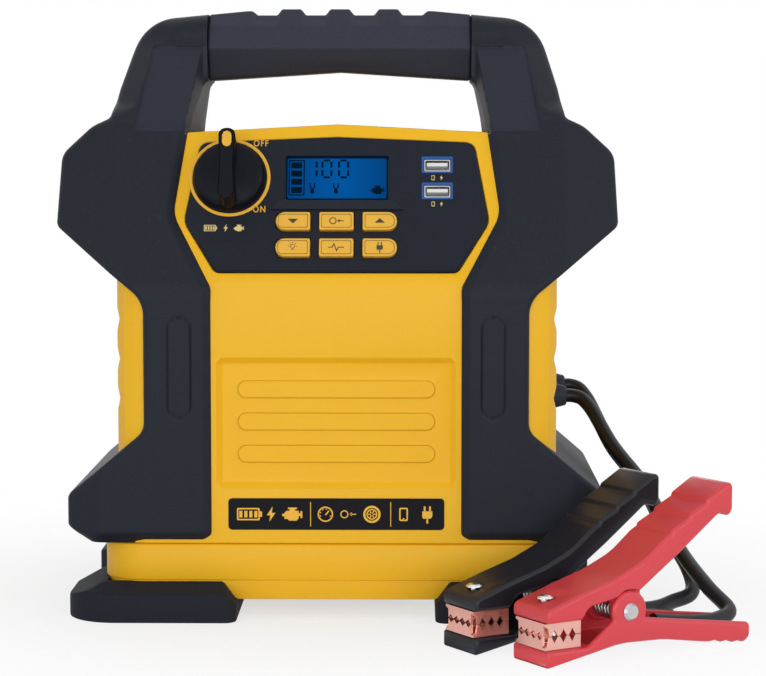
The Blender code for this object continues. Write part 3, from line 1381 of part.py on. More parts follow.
def clamp(prefix, finish, tip):
    holder = bpy.data.objects.new(prefix + "_clamp", None)
    PARTS.objects.link(holder)
    holder.matrix_basis = Matrix.Translation(tip) @ Matrix.Rotation(CLAMP_TURN, 4, "Z")
    bpy.context.view_layer.update()
    lower_half(prefix, finish, holder)
    upper_half(prefix, finish, holder)
    jaw(prefix + "_lower_jaw", holder, False)
    jaw(prefix + "_upper_jaw", holder, True)
    pivot_pin(prefix + "_pivot", holder)
    rivets(prefix, holder)
    spring(prefix + "_spring", holder)
    return holder


# ---------------------------------------------------------------- cables


def smooth_route(before, corners, spacing):
    """Evenly spaced points on a Catmull-Rom curve through the corners, which starts away from a point before them."""
    padded = [before] + corners + [2 * corners[-1] - corners[-2]]
    fine = []
    for a, b, c, d in zip(padded, padded[1:], padded[2:], padded[3:]):
        for step in range(12):
            t = step / 12
            fine.append(0.5 * (2 * b + (c - a) * t + (2 * a - 5 * b + 4 * c - d) * t**2 + (3 * b - a - 3 * c + d) * t**3))
    fine.append(corners[-1])
    length = sum((b - a).length for a, b in zip(fine, fine[1:]))
    count = round(length / spacing)
    even, walked, target = [fine[0]], 0.0, length / count
    for a, b in zip(fine, fine[1:]):
        step = (b - a).length
        while walked + step >= target * len(even) - 1e-9 and len(even) < count:
            even.append(a.lerp(b, (target * len(even) - walked) / step))
        walked += step
    return even + [fine[-1]]


def in_clamp(tip, s, n, z):
    return Matrix.Translation(tip) @ Matrix.Rotation(CLAMP_TURN, 4, "Z") @ Vector((s, n, z))


def gland(name, place):
    """A rubber strain relief that tapers out from the housing's side."""
    profile = [
        (0.0047, GLAND_LENGTH),
        (0.0055, GLAND_LENGTH - 0.0008),
        (GLAND_RADIUS, 0.0035),
        (GLAND_RADIUS + 0.0018, 0.0025),
        (GLAND_RADIUS + 0.0018, GAP),
        (GLAND_RADIUS, GAP),
        (GLAND_RADIUS, -0.006),
        (CABLE_RADIUS + GAP, -0.006),
        (CABLE_RADIUS + GAP, GLAND_LENGTH),
    ]
    outward = Matrix.Translation(place) @ Matrix.Rotation(math.pi / 2, 4, "Y")
    return part(turned(name, profile, outward, steps=16), RUBBER)


def cables():
    red = [
        RED_GLAND + Vector((-0.004, 0, 0)),
        RED_GLAND + Vector((GLAND_LENGTH + 0.003, 0, 0)),
        RED_GLAND + Vector((0.0240, -0.0055, -0.0050)),
        Vector((0.147, 0.010, 0.076)),
        Vector((0.161, -0.018, 0.059)),
        Vector((0.169, -0.048, 0.0435)),
        Vector((0.177, -0.078, 0.030)),
        Vector((0.186, -0.104, 0.0195)),
        in_clamp(RED_TIP, 0.1235, 0.0062, 0.0118),
        in_clamp(RED_TIP, 0.112, 0.0012, 0.0094),
        in_clamp(RED_TIP, 0.100, 0.0, 0.0095),
        in_clamp(RED_TIP, 0.086, 0.0, 0.0108),
        in_clamp(RED_TIP, 0.072, 0.0, 0.0129),
    ]
    black = [
        BLACK_GLAND + Vector((-0.004, 0, 0)),
        BLACK_GLAND + Vector((GLAND_LENGTH + 0.003, 0, 0)),
        BLACK_GLAND + Vector((0.0240, -0.0060, -0.0065)),
        Vector((0.148, 0.028, 0.073)),
        Vector((0.162, 0.000, 0.056)),
        Vector((0.172, -0.035, 0.036)),
        Vector((0.180, -0.064, 0.022)),
        Vector((0.1800, -0.0835, 0.0135)),
        in_clamp(BLACK_TIP, 0.131, 0.0035, 0.0100),
        in_clamp(BLACK_TIP, 0.117, 0.0, 0.0088),
        in_clamp(BLACK_TIP, 0.100, 0.0, 0.0094),
        in_clamp(BLACK_TIP, 0.086, 0.0, 0.0108),
        in_clamp(BLACK_TIP, 0.072, 0.0, 0.0129),
    ]
    for name, route in (("red_cable", red), ("black_cable", black)):
        points = [route[0]] + smooth_route(route[0], route[1:], CABLE_SPACING)
        part(tube(name, points, CABLE_RADIUS, resolution=2), CABLE_BLACK)
    gland("red_gland", RED_GLAND)
    gland("black_gland", BLACK_GLAND)


# ---------------------------------------------------------------- the pack

clear_scene()
PARTS = collection("jump_starter_pack")
CUTTERS = collection("cutters")

YELLOW = material("yellow", (0.95, 0.54, 0.035), 0.42)
BUTTON_YELLOW = material("button_yellow", (0.97, 0.58, 0.08), 0.4)
FRAME_BLACK = material("frame_black", (0.026, 0.028, 0.040), 0.5)
PANEL_BLACK = material("panel_black", (0.014, 0.016, 0.022), 0.45)
RUBBER = material("rubber", (0.020, 0.021, 0.026), 0.75)
DARK_PLASTIC = material("dark_plastic", (0.03, 0.03, 0.035), 0.5)
LCD_BLUE = material("lcd_blue", (0.0, 0.08, 0.35), 0.15)
WHITE = material("white", (0.85, 0.85, 0.85), 0.4)
CLEAR = material("clear", (0.9, 0.92, 0.95), 0.05)
BOARD_GREEN = material("board_green", (0.02, 0.12, 0.05), 0.5)
RED = material("clamp_red", (0.80, 0.08, 0.10), 0.4)
CLAMP_BLACK = material("clamp_black", (0.015, 0.016, 0.022), 0.45)
COPPER = material("copper", (0.72, 0.38, 0.26), 0.3, 1.0)
STEEL = material("steel", (0.6, 0.6, 0.62), 0.35, 1.0)
CHROME = material("chrome", (0.8, 0.8, 0.8), 0.1, 1.0)
ALUMINIUM = material("aluminium", (0.7, 0.7, 0.7), 0.45, 1.0)
BRASS = material("brass", (0.75, 0.55, 0.2), 0.35, 1.0)
CABLE_BLACK = material("cable_black", (0.012, 0.012, 0.013), 0.5)

front_housing()
rear_housing()
frame_half("front_frame", True)
frame_half("rear_frame", False)
grip()
base_tray()
foot("left_foot", -1)
foot("right_foot", 1)
control_panel()
display()
main_board()
usb_socket("lower", USB_LOW)
usb_socket("upper", USB_HIGH)
buttons()
knob()
switch_body()
battery()
compressor()
lamp()
rear_fittings()
clamp("red", RED, RED_TIP)
clamp("black", CLAMP_BLACK, BLACK_TIP)
cables()
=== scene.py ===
"""Looks for the jump starter pack: camera, light, cables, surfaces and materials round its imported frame."""

import json
import math

import bmesh
import bpy
import numpy as np
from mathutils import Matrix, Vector


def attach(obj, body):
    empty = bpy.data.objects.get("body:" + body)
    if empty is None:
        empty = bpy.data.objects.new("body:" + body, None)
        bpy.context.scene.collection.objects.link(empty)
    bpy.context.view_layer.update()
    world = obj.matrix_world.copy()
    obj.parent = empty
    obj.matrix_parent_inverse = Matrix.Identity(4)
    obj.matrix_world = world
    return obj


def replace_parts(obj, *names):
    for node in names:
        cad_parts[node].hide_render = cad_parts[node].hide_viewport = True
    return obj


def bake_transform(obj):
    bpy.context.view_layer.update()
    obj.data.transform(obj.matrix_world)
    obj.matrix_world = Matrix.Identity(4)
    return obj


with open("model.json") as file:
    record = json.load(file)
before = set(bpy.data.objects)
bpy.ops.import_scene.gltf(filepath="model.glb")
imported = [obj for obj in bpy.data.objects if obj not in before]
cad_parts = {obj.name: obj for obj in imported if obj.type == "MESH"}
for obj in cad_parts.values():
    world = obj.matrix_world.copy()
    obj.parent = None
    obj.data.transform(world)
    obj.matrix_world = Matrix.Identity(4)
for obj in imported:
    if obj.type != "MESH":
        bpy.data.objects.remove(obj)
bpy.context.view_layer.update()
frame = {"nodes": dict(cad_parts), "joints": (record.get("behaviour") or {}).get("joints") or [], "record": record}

# ---------------------------------------------------------------- camera

VIEW_PLACE = Vector((0.0395, -1.3148, 0.2489))
VIEW_PAN, VIEW_TILT = math.radians(-0.74), math.radians(4.94)
PHOTO_WIDTH, FOCAL_PIXELS = 766, 2458

camera = bpy.data.objects.new("camera", bpy.data.cameras.new("camera"))
bpy.context.scene.collection.objects.link(camera)
bpy.context.scene.camera = camera
camera.data.sensor_width = 36.0
camera.data.lens = camera.data.sensor_width * FOCAL_PIXELS / PHOTO_WIDTH
camera.data.clip_start = 0.05
camera.location = VIEW_PLACE
ahead = Vector((
    math.sin(VIEW_PAN) * math.cos(VIEW_TILT), math.cos(VIEW_PAN) * math.cos(VIEW_TILT), -math.sin(VIEW_TILT)
))
camera.rotation_euler = ahead.to_track_quat("-Z", "Y").to_euler()

# ---------------------------------------------------------------- lines and meshes

PIECES = bpy.data.collections.new("pieces")
bpy.context.scene.collection.children.link(PIECES)
WELD = 2e-6


def curve_through(before, corners, share):
    """Catmull-Rom curve through the corners: from b to c the point is half of
    2b + (c - a)t + (2a - 5b + 4c - d)t^2 + (3b - a - 3c + d)t^3, with a before b and d after c."""
    corners = np.asarray(corners, float)
    line = np.concatenate([[before], corners, [2 * corners[-1] - corners[-2]]])
    a, b, c, d = (line[i : len(line) - 3 + i, None, :] for i in range(4))
    t = np.linspace(0, 1, share, endpoint=False)[None, :, None]
    body = 0.5 * (2 * b + (c - a) * t + (2 * a - 5 * b + 4 * c - d) * t**2 + (3 * b - a - 3 * c + d) * t**3)
    return np.concatenate([body.reshape(-1, 3), corners[-1:]])


def evenly(line, count):
    """The same line with points at equal steps of its length."""
    walked = np.concatenate([[0], np.cumsum(np.linalg.norm(np.diff(line, axis=0), axis=1))])
    at = np.linspace(0, walked[-1], count)
    return np.stack([np.interp(at, walked, line[:, axis]) for axis in range(line.shape[1])], -1)


def rounded_line(corners, arc_points=14):
    """Open line through (a, b, radius) corners: an inner corner becomes an arc of its radius, tangent to both
    sides and no longer than half of the shorter one."""
    corners = np.asarray(corners, float)
    line = [corners[:1, :2]]
    for before, here, after in zip(corners, corners[1:], corners[2:]):
        back, ahead = before[:2] - here[:2], after[:2] - here[:2]
        sides = np.linalg.norm(back), np.linalg.norm(ahead)
        back, ahead = back / sides[0], ahead / sides[1]
        half = math.acos(np.clip(back @ ahead, -1, 1)) / 2
        if here[2] < 1e-6 or half > math.radians(88.5):
            line.append(here[None, :2])
            continue
        reach = min(here[2] / math.tan(half), 0.48 * sides[0], 0.48 * sides[1])
        middle = (back + ahead) / np.linalg.norm(back + ahead)
        centre = here[:2] + middle * reach / math.cos(half)
        start, end = here[:2] + back * reach - centre, here[:2] + ahead * reach - centre
        turn = math.atan2(start[0] * end[1] - start[1] * end[0], start @ end)
        angle = np.linspace(0, turn, arc_points)[:, None]
        line.append(centre + start * np.cos(angle) + np.array((-start[1], start[0])) * np.sin(angle))
    return np.concatenate(line + [corners[-1:, :2]])


def closed(corners, arc_points=10):
    """Closed outline of (a, b, radius) corners, which starts half way along the side before the first."""
    corners = np.asarray(corners, float)
    start = np.append((corners[-1, :2] + corners[0, :2]) / 2, 0)
    return rounded_line(np.vstack([start, corners, start]), arc_points)[:-1]


def soft_step(x, width):
    """Softened max(x, 0): width times log(1 + e^(x / width))."""
    return width * np.logaddexp(0, x / width)


def blend(x, low, high):
    """0 below low, 1 above high, and the smooth cubic 3t^2 - 2t^3 between."""
    t = np.clip((x - low) / (high - low), 0, 1)
    return t * t * (3 - 2 * t)


def loft(rows):
    """Closed form through rings of points: quads from ring to ring, and a flat face at each end."""
    rows = np.asarray(rows, float)
    count, columns = rows.shape[:2]
    grid = np.arange(count * columns).reshape(count, columns)
    grid = np.hstack([grid, grid[:, :1]])
    quads = np.stack([grid[:-1, :-1], grid[:-1, 1:], grid[1:, 1:], grid[1:, :-1]], -1).reshape(-1, 4)
    return rows.reshape(-1, 3), [*map(tuple, quads), tuple(grid[0, :-1]), tuple(grid[-1, :-1])]


def piece(name, body, finish, parts, angle=35.0):
    """One mesh object from (points, faces) parts, welded, with its normals outwards, that rides on a body."""
    points, faces, start = [], [], 0
    for some_points, some_faces in parts:
        points.append(np.asarray(some_points, float).reshape(-1, 3))
        faces += [tuple(int(c) + start for c in face) for face in some_faces]
        start += len(points[-1])
    mesh = bpy.data.meshes.new(name)
    mesh.from_pydata(np.concatenate(points), [], faces)
    edit = bmesh.new()
    edit.from_mesh(mesh)
    bmesh.ops.remove_doubles(edit, verts=edit.verts, dist=WELD)
    bmesh.ops.recalc_face_normals(edit, faces=edit.faces)
    edit.to_mesh(mesh)
    edit.free()
    made = bpy.data.objects.new(name, mesh)
    PIECES.objects.link(made)
    mesh.materials.append(finish)
    mesh.shade_smooth()
    mesh.set_sharp_from_angle(angle=math.radians(angle))
    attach(made, body)
    return made


# ---------------------------------------------------------------- materials


def fill(tree, made, values):
    """Set a node's inputs, given as (socket, value or another node's output) pairs."""
    for socket, value in values:
        if isinstance(value, bpy.types.NodeSocket):
            tree.links.new(value, made.inputs[socket])
        else:
            made.inputs[socket].default_value = value


def node(tree, kind, values=(), **settings):
    """A new node with its settings and its inputs."""
    made = tree.nodes.new(kind)
    for key, value in settings.items():
        setattr(made, key, value)
    fill(tree, made, values)
    return made


def number(tree, operation, *values, clamp=False):
    return node(tree, "ShaderNodeMath", enumerate(values), operation=operation, use_clamp=clamp).outputs[0]


def on_object(tree):
    return node(tree, "ShaderNodeTexCoord").outputs["Object"]


def stretched(tree, place, scale, shift=(0.0, 0.0, 0.0)):
    values = [("Vector", place), ("Location", shift), ("Scale", scale)]
    return node(tree, "ShaderNodeMapping", values).outputs[0]


def noise(tree, place, scale, detail):
    values = [("Vector", place), ("Scale", scale), ("Detail", detail)]
    return node(tree, "ShaderNodeTexNoise", values).outputs[0]


def between(tree, factor, low, high):
    """A number from low to high as the factor goes from 0 to 1."""
    return node(tree, "ShaderNodeMapRange", [("Value", factor), ("To Min", low), ("To Max", high)]).outputs[0]


def mixed(tree, factor, *tones):
    """A colour from the first tone to the second, each a colour or another node's output."""
    pair = [(socket, (*tone, 1) if isinstance(tone, tuple) else tone) for socket, tone in zip("AB", tones)]
    return node(tree, "ShaderNodeMix", [("Factor", factor), *pair], data_type="RGBA").outputs["Result"]


def relief_of(tree, height, strength, distance, invert=False):
    values = [("Strength", strength), ("Distance", distance), ("Height", height)]
    return node(tree, "ShaderNodeBump", values, invert=invert).outputs[0]


def new_finish(name):
    """A new material, its node tree and its shader."""
    made = bpy.data.materials.new(name)
    made.use_nodes = True
    return made, made.node_tree, made.node_tree.nodes["Principled BSDF"]


def skin_group():
    """Moulded plastic: fine grain as height, a slow cloud for tone and gloss, and dust on upward faces."""
    group = bpy.data.node_groups.new("moulded_skin", "ShaderNodeTree")
    for label, value in (("Grain Scale", 2500.0), ("Cloud Scale", 18.0), ("Dust", 0.3)):
        group.interface.new_socket(label, in_out="INPUT", socket_type="NodeSocketFloat").default_value = value
    for label in ("Height", "Cloud", "Dust"):
        group.interface.new_socket(label, in_out="OUTPUT", socket_type="NodeSocketFloat")
    given, out = group.nodes.new("NodeGroupInput").outputs, group.nodes.new("NodeGroupOutput")
    place, scale = on_object(group), given["Grain Scale"]
    cell = node(group, "ShaderNodeTexVoronoi", [("Vector", place), ("Scale", scale)]).outputs[0]
    fine = noise(group, place, scale, 2.0)
    height = number(group, "ADD", fine, number(group, "MULTIPLY", cell, 0.5))
    cloud = noise(group, place, given["Cloud Scale"], 5.0)
    normal = node(group, "ShaderNodeNewGeometry").outputs["Normal"]
    up = node(group, "ShaderNodeSeparateXYZ", [("Vector", normal)]).outputs[2]
    specks = number(group, "SUBTRACT", noise(group, place, 420.0, 3.0), 0.60, clamp=True)
    spots = number(group, "MULTIPLY", specks, 6.0, clamp=True)
    facing = number(group, "ADD", number(group, "MULTIPLY", up, 0.6), 0.4, clamp=True)
    dust = number(group, "MULTIPLY", number(group, "MULTIPLY", spots, facing), given["Dust"])
    fill(group, out, [("Height", height), ("Cloud", cloud), ("Dust", dust)])
    return group


SKIN = skin_group()


def plastic(name, color, shade, roughness, grain=2500.0, relief=0.15, dust=0.1, coat=0.0, shine=0.5):
    """Moulded plastic or rubber: two near colours mixed by the cloud, with grain, dust and uneven gloss."""
    made, tree, shader = new_finish(name)
    skin = node(tree, "ShaderNodeGroup", node_tree=SKIN)
    fill(tree, skin, [("Grain Scale", grain), ("Dust", dust)])
    skin = skin.outputs
    dusty = tuple(0.55 * c + 0.22 for c in color)
    fill(tree, shader, [
        ("Base Color", mixed(tree, skin["Dust"], mixed(tree, skin["Cloud"], color, shade), dusty)),
        ("Roughness", between(tree, skin["Cloud"], roughness - 0.06, roughness + 0.08)),
        ("Normal", relief_of(tree, skin["Height"], relief, 0.0002)),
        ("Coat Weight", coat), ("Coat Roughness", 0.15), ("Specular IOR Level", shine),
    ])
    return made


def metal(name, color, roughness, scratch=(900.0, 60.0, 60.0), relief=0.08):
    """Metal with fine lines drawn out along X, in its gloss and as shallow relief."""
    made, tree, shader = new_finish(name)
    place = on_object(tree)
    lines = noise(tree, stretched(tree, place, scratch), 4.0, 6.0)
    fill(tree, shader, [
        ("Base Color", mixed(tree, noise(tree, place, 90.0, 4.0), color, tuple(0.72 * c for c in color))),
        ("Roughness", between(tree, lines, roughness - 0.08, roughness + 0.12)),
        ("Normal", relief_of(tree, lines, relief, 0.0001)), ("Metallic", 1.0),
    ])
    return made


YELLOW = plastic("yellow_plastic", (0.93, 0.490, 0.004), (0.96, 0.540, 0.010), 0.46, dust=0.03, shine=0.35)
CHARCOAL = plastic("charcoal_plastic", (0.0125, 0.0145, 0.0230), (0.0165, 0.0190, 0.0290), 0.52,
                   grain=1800, relief=0.30, dust=0.06, shine=0.16)
PANEL = plastic("panel_plastic", (0.0062, 0.0082, 0.0165), (0.0085, 0.0108, 0.0205), 0.46,
                relief=0.2, dust=0.03, shine=0.18)
KNOB = plastic("knob_plastic", (0.0030, 0.0036, 0.0080), (0.0048, 0.0055, 0.0110), 0.42,
               relief=0.1, dust=0.03, shine=0.12)
RUBBER = plastic("grip_rubber", (0.0250, 0.0290, 0.0460), (0.0305, 0.0350, 0.0540), 0.60,
                 grain=1400, relief=0.5, dust=0.06, shine=0.25)
FOOT_RUBBER = plastic("foot_rubber", (0.0210, 0.0230, 0.0320), (0.0255, 0.0280, 0.0380), 0.68,
                      grain=1600, relief=0.4, dust=0.06, shine=0.05)
BUTTON = plastic("button_plastic", (0.86, 0.46, 0.040), (0.90, 0.50, 0.055), 0.42,
                 dust=0.0, relief=0.05, shine=0.35)
WHITE = plastic("white_plastic", (0.80, 0.80, 0.80), (0.86, 0.86, 0.86), 0.4, dust=0.0, relief=0.05)
DARK = plastic("dark_plastic", (0.020, 0.022, 0.030), (0.028, 0.030, 0.040), 0.5, dust=0.05, shine=0.25)
RED = plastic("clamp_red_plastic", (0.72, 0.044, 0.060), (0.80, 0.062, 0.082), 0.36,
              dust=0.03, relief=0.08, shine=0.55)
CLAMP_BLACK = plastic("clamp_black_plastic", (0.0070, 0.0082, 0.0150), (0.0105, 0.0120, 0.0200), 0.38,
                      dust=0.04, relief=0.08, shine=0.32)
CABLE = plastic("cable_vinyl", (0.0055, 0.0062, 0.0100), (0.0095, 0.0105, 0.0150), 0.40,
                grain=900, relief=0.08, dust=0.04, shine=0.35)
BOARD = plastic("board_lacquer", (0.012, 0.09, 0.035), (0.02, 0.12, 0.05), 0.35, coat=0.3)
COPPER = metal("copper_plate", (0.93, 0.50, 0.43), 0.32)
STEEL = metal("zinc_steel", (0.62, 0.62, 0.64), 0.32)
CHROME = metal("nickel_plate", (0.80, 0.79, 0.78), 0.24, relief=0.02)
ALUMINIUM = metal("cast_aluminium", (0.66, 0.66, 0.67), 0.45, scratch=(300.0, 300.0, 300.0), relief=0.3)
BRASS = metal("turned_brass", (0.72, 0.50, 0.18), 0.28)

# ---------------------------------------------------------------- cables

CABLE_RADIUS = 0.00375
CLAMP_TURN = math.radians(32)
RED_TIP, BLACK_TIP = np.array((0.0926, -0.1917, 0.0)), np.array((0.0603, -0.1630, 0.0))
RED_GLAND, BLACK_GLAND = np.array((0.1115, 0.040, 0.100)), np.array((0.1115, 0.058, 0.104))
GLAND_LENGTH = 0.012
CLAMP_AXES = np.array((
    (math.cos(CLAMP_TURN), math.sin(CLAMP_TURN), 0.0),
    (-math.sin(CLAMP_TURN), math.cos(CLAMP_TURN), 0.0),
    (0.0, 0.0, 1.0),
))


def of_clamp(tip, points):
    """Points of a clamp's own frame in the pack's: turned about Z by its turn, then moved to its tip."""
    return np.asarray(points, float) @ CLAMP_AXES + tip


red_route = np.concatenate([
    RED_GLAND + ((-0.004, 0, 0), (GLAND_LENGTH + 0.003, 0, 0), (0.0240, -0.0055, -0.0050)),
    ((0.147, 0.010, 0.076), (0.161, -0.018, 0.059), (0.169, -0.048, 0.0435), (0.177, -0.078, 0.030),
     (0.186, -0.104, 0.0195)),
    of_clamp(RED_TIP, ((0.1235, 0.0062, 0.0118), (0.112, 0.0012, 0.0094), (0.100, 0.0, 0.0095),
                       (0.086, 0.0, 0.0108), (0.072, 0.0, 0.0129))),
])
black_route = np.concatenate([
    BLACK_GLAND + ((-0.004, 0, 0), (GLAND_LENGTH + 0.003, 0, 0), (0.0240, -0.0060, -0.0065)),
    ((0.148, 0.028, 0.073), (0.162, 0.000, 0.056), (0.172, -0.035, 0.036), (0.180, -0.064, 0.022),
     (0.1800, -0.0835, 0.0135)),
    of_clamp(BLACK_TIP, ((0.131, 0.0035, 0.0100), (0.117, 0.0, 0.0088), (0.100, 0.0, 0.0094),
                         (0.086, 0.0, 0.0108), (0.072, 0.0, 0.0129))),
])


def round_tube(line, radius, sides):
    """A round tube: at each point of the line, a circle across it. Its frame is the line's direction crossed
    with up, and the point at angle a is centre + radius (across cos a + over sin a)."""
    ahead = np.gradient(line, axis=0)
    ahead /= np.linalg.norm(ahead, axis=1, keepdims=True)
    across = np.cross(ahead, (0.0, 0.0, 1.0))
    across /= np.linalg.norm(across, axis=1, keepdims=True)
    over = np.cross(across, ahead)
    turn = np.linspace(0, 2 * np.pi, sides, endpoint=False)[None, :, None]
    return loft(line[:, None] + radius * (across[:, None] * np.cos(turn) + over[:, None] * np.sin(turn)))


def cable_jacket(prefix, route, share=24, count=150, sides=24):
    """The cable along its route: a round tube on an even line through the route's points."""
    line = evenly(np.concatenate([route[:1], curve_through(route[0], route[1:], share)]), count)
    tube = round_tube(line, CABLE_RADIUS, sides)
    made = piece(prefix + "_cable_jacket", "pack", CABLE, [tube])
    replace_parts(made, prefix + "_cable")
    return made, line


CABLES = {"red": cable_jacket("red", red_route), "black": cable_jacket("black", black_route)}

# ---------------------------------------------------------------- carrying frame

TILT = math.radians(19.5)
HOUSING_FRONT, FRAME_FACE, SLOPE_START = 0.0845, 0.088, 0.166
PARTING = 0.00015
SIDE_PROFILE = evenly(rounded_line([
    (0.0825, 0.0380, 0), (FRAME_FACE, 0.0435, 0.002), (FRAME_FACE, SLOPE_START, 0.03),
    (0.05825, 0.250, 0.012), (0.0245, 0.292, 0.012), (0.0225, 0.310, 0),
]), 3000)
OUTER_EDGE = [
    (0.125, 0.038, 0), (0.1365, 0.0465, 0.003), (0.1365, 0.0623, 0.005), (0.097, 0.0952, 0.010),
    (0.097, 0.1612, 0.015), (0.143, 0.198, 0.005), (0.1415, 0.2343, 0.010), (0.126, 0.2485, 0.020),
    (0.1165, 0.2528, 0.003), (0.1135, 0.268, 0.02), (0.1035, 0.3038, 0.024), (0.049, 0.309, 0.06),
    (0.0, 0.309, 0),
]
INNER_EDGE = [
    (0.063, 0.038, 0), (0.063, 0.168, 0.010), (0.0825, 0.204, 0.016), (0.0752, 0.2535, 0.012),
    (0.0705, 0.2725, 0.006), (0.0, 0.277, 0),
]
# places on the two edges that face each other, and how many rows lie between one pair and the next
OUTER_KEYS = [
    (0.125, 0.038), (0.1365, 0.0465), (0.1365, 0.0623), (0.097, 0.0952), (0.097, 0.1612), (0.143, 0.198),
    (0.1415, 0.2343), (0.1165, 0.2528), (0.1135, 0.268), (0.1035, 0.3038), (0.079, 0.3065), (0.0693, 0.3072),
]
INNER_KEYS = [
    (0.063, 0.038), (0.063, 0.049), (0.063, 0.067), (0.063, 0.097), (0.063, 0.160), (0.0800, 0.200),
    (0.0775, 0.236), (0.0755, 0.250), (0.0738, 0.261), (0.0708, 0.2710), (0.0700, 0.2720), (0.0693, 0.2726),
]
KEY_COUNTS = (9, 14, 34, 58, 44, 44, 22, 20, 44, 12, 6)
WAIST_MIDDLE, SHOULDER_CREASE, HIP_CREASE, CREASE_SLOPE = 0.13, 0.114, 0.120, 0.36
FLARE_LOW_X, FLARE_HIGH_X, BAR_DEPTH, FLARE_DEPTH, FLARE_FROM_Z = 0.0715, 0.0790, 0.0245, 0.062, 0.245
INLAY_LOW, INLAY_TOP, INLAY_LOW_OUT, INLAY_TOP_OUT, INLAY_DEPTH = 0.2460, 0.2905, 0.1040, 0.0970, 0.0014
INLAY_LEAN = (INLAY_TOP_OUT - INLAY_LOW_OUT) / (INLAY_TOP - INLAY_LOW)
GROOVE_X, GROOVE_LOW, GROOVE_TOP, GROOVE_RADIUS = 0.079, 0.102, 0.1525, 0.0058
GROOVE_DEPTH, GROOVE_HALF = 0.0007, 0.00045
# painted light: a lighter colour standing in for the light that falls on the posts' upward-tilted inlays
POST_PAINTED_LIGHT = (0.0235, 0.0275, 0.0420)


def along_keys(corners, keys, fineness=4000):
    """Points of the rounded line, with the given count between each two of its key points."""
    line = evenly(rounded_line(corners), fineness)
    marks = [int(np.argmin(np.linalg.norm(line - key, axis=1))) for key in keys]
    steps = [np.linspace(a, b, n, endpoint=False) for a, b, n in zip(marks, marks[1:], KEY_COUNTS)]
    at = np.concatenate([*steps, marks[-1:]])
    return np.stack([np.interp(at, np.arange(len(line)), line[:, axis]) for axis in (0, 1)], -1)


def face_depth(x, z):
    """How far the frame's face stands from the middle plane: its side profile at that height, less a slant on
    the shoulders and hips beyond a crease, the posts' inlays and a line round each waist's obround, and no
    deeper than the slanted wall between post and bar."""
    x = np.abs(x)
    depth = np.interp(z, SIDE_PROFILE[:, 1], SIDE_PROFILE[:, 0])
    crease = np.where(z > WAIST_MIDDLE, SHOULDER_CREASE, HIP_CREASE)
    depth = depth - CREASE_SLOPE * soft_step(x - crease, 0.0009)
    outer = INLAY_LOW_OUT + INLAY_LEAN * (z - INLAY_LOW)
    inlay = blend(z, INLAY_LOW, INLAY_LOW + 0.0008) * blend(INLAY_TOP - z, 0, 0.0012)
    depth = depth - INLAY_DEPTH * inlay * blend(outer - x, 0, 0.0009)
    nearest = np.clip(z, GROOVE_LOW + GROOVE_RADIUS, GROOVE_TOP - GROOVE_RADIUS)
    ring = np.hypot(x - GROOVE_X, z - nearest) - GROOVE_RADIUS
    depth = depth - GROOVE_DEPTH * np.exp(-((ring / GROOVE_HALF) ** 2))
    flare = (FLARE_DEPTH - BAR_DEPTH) / (FLARE_HIGH_X - FLARE_LOW_X)
    bar = BAR_DEPTH + soft_step(x - FLARE_LOW_X, 0.0003) * flare
    return np.where(z > FLARE_FROM_Z, bar - soft_step(bar - depth, 0.0005), depth)


def half_section(grow, low, high):
    """Half of the grip's section, y against height: out to its widest place and in again to the top."""
    return rounded_line([
        (0, low, 0), (0.015 + grow, low, 0.003), (0.0235 + grow, 0.2895, 0.0025),
        (0.0195 + grow, 0.3005, 0.0025), (0.0105 + grow, high, 0.003), (0, high, 0),
    ])


def paint_light_on_posts(finish, sharpness=1500):
    """Painted light on the posts' inlays: a lighter colour, standing in for the light on their upward-tilted
    faces, which a mask over height and width mixes into the base colour.
    """
    tree = finish.node_tree
    base = tree.nodes["Principled BSDF"].inputs["Base Color"]
    place = node(tree, "ShaderNodeSeparateXYZ", [("Vector", on_object(tree))]).outputs
    edge = number(tree, "MULTIPLY_ADD", place[2], INLAY_LEAN, INLAY_LOW_OUT - INLAY_LOW * INLAY_LEAN)
    within = number(tree, "SUBTRACT", edge, number(tree, "ABSOLUTE", place[0]))
    mask = number(tree, "MULTIPLY", within, sharpness, clamp=True)
    for gap in (number(tree, "SUBTRACT", place[2], INLAY_LOW), number(tree, "SUBTRACT", INLAY_TOP, place[2])):
        mask = number(tree, "MULTIPLY", mask, number(tree, "MULTIPLY", gap, sharpness, clamp=True))
    tree.links.new(mixed(tree, mask, base.links[0].from_socket, POST_PAINTED_LIGHT), base)


def leaning(edge, across):
    """Sine of the angle between an edge and the rows that leave it, kept from 0.35 to 1."""
    ahead = np.gradient(edge, axis=0)
    cross = ahead[:, 0] * across[:, 1] - ahead[:, 1] * across[:, 0]
    lengths = np.linalg.norm(ahead, axis=1) * np.linalg.norm(across, axis=1)
    return np.clip(np.abs(cross) / lengths, 0.35, 1)[:, None]


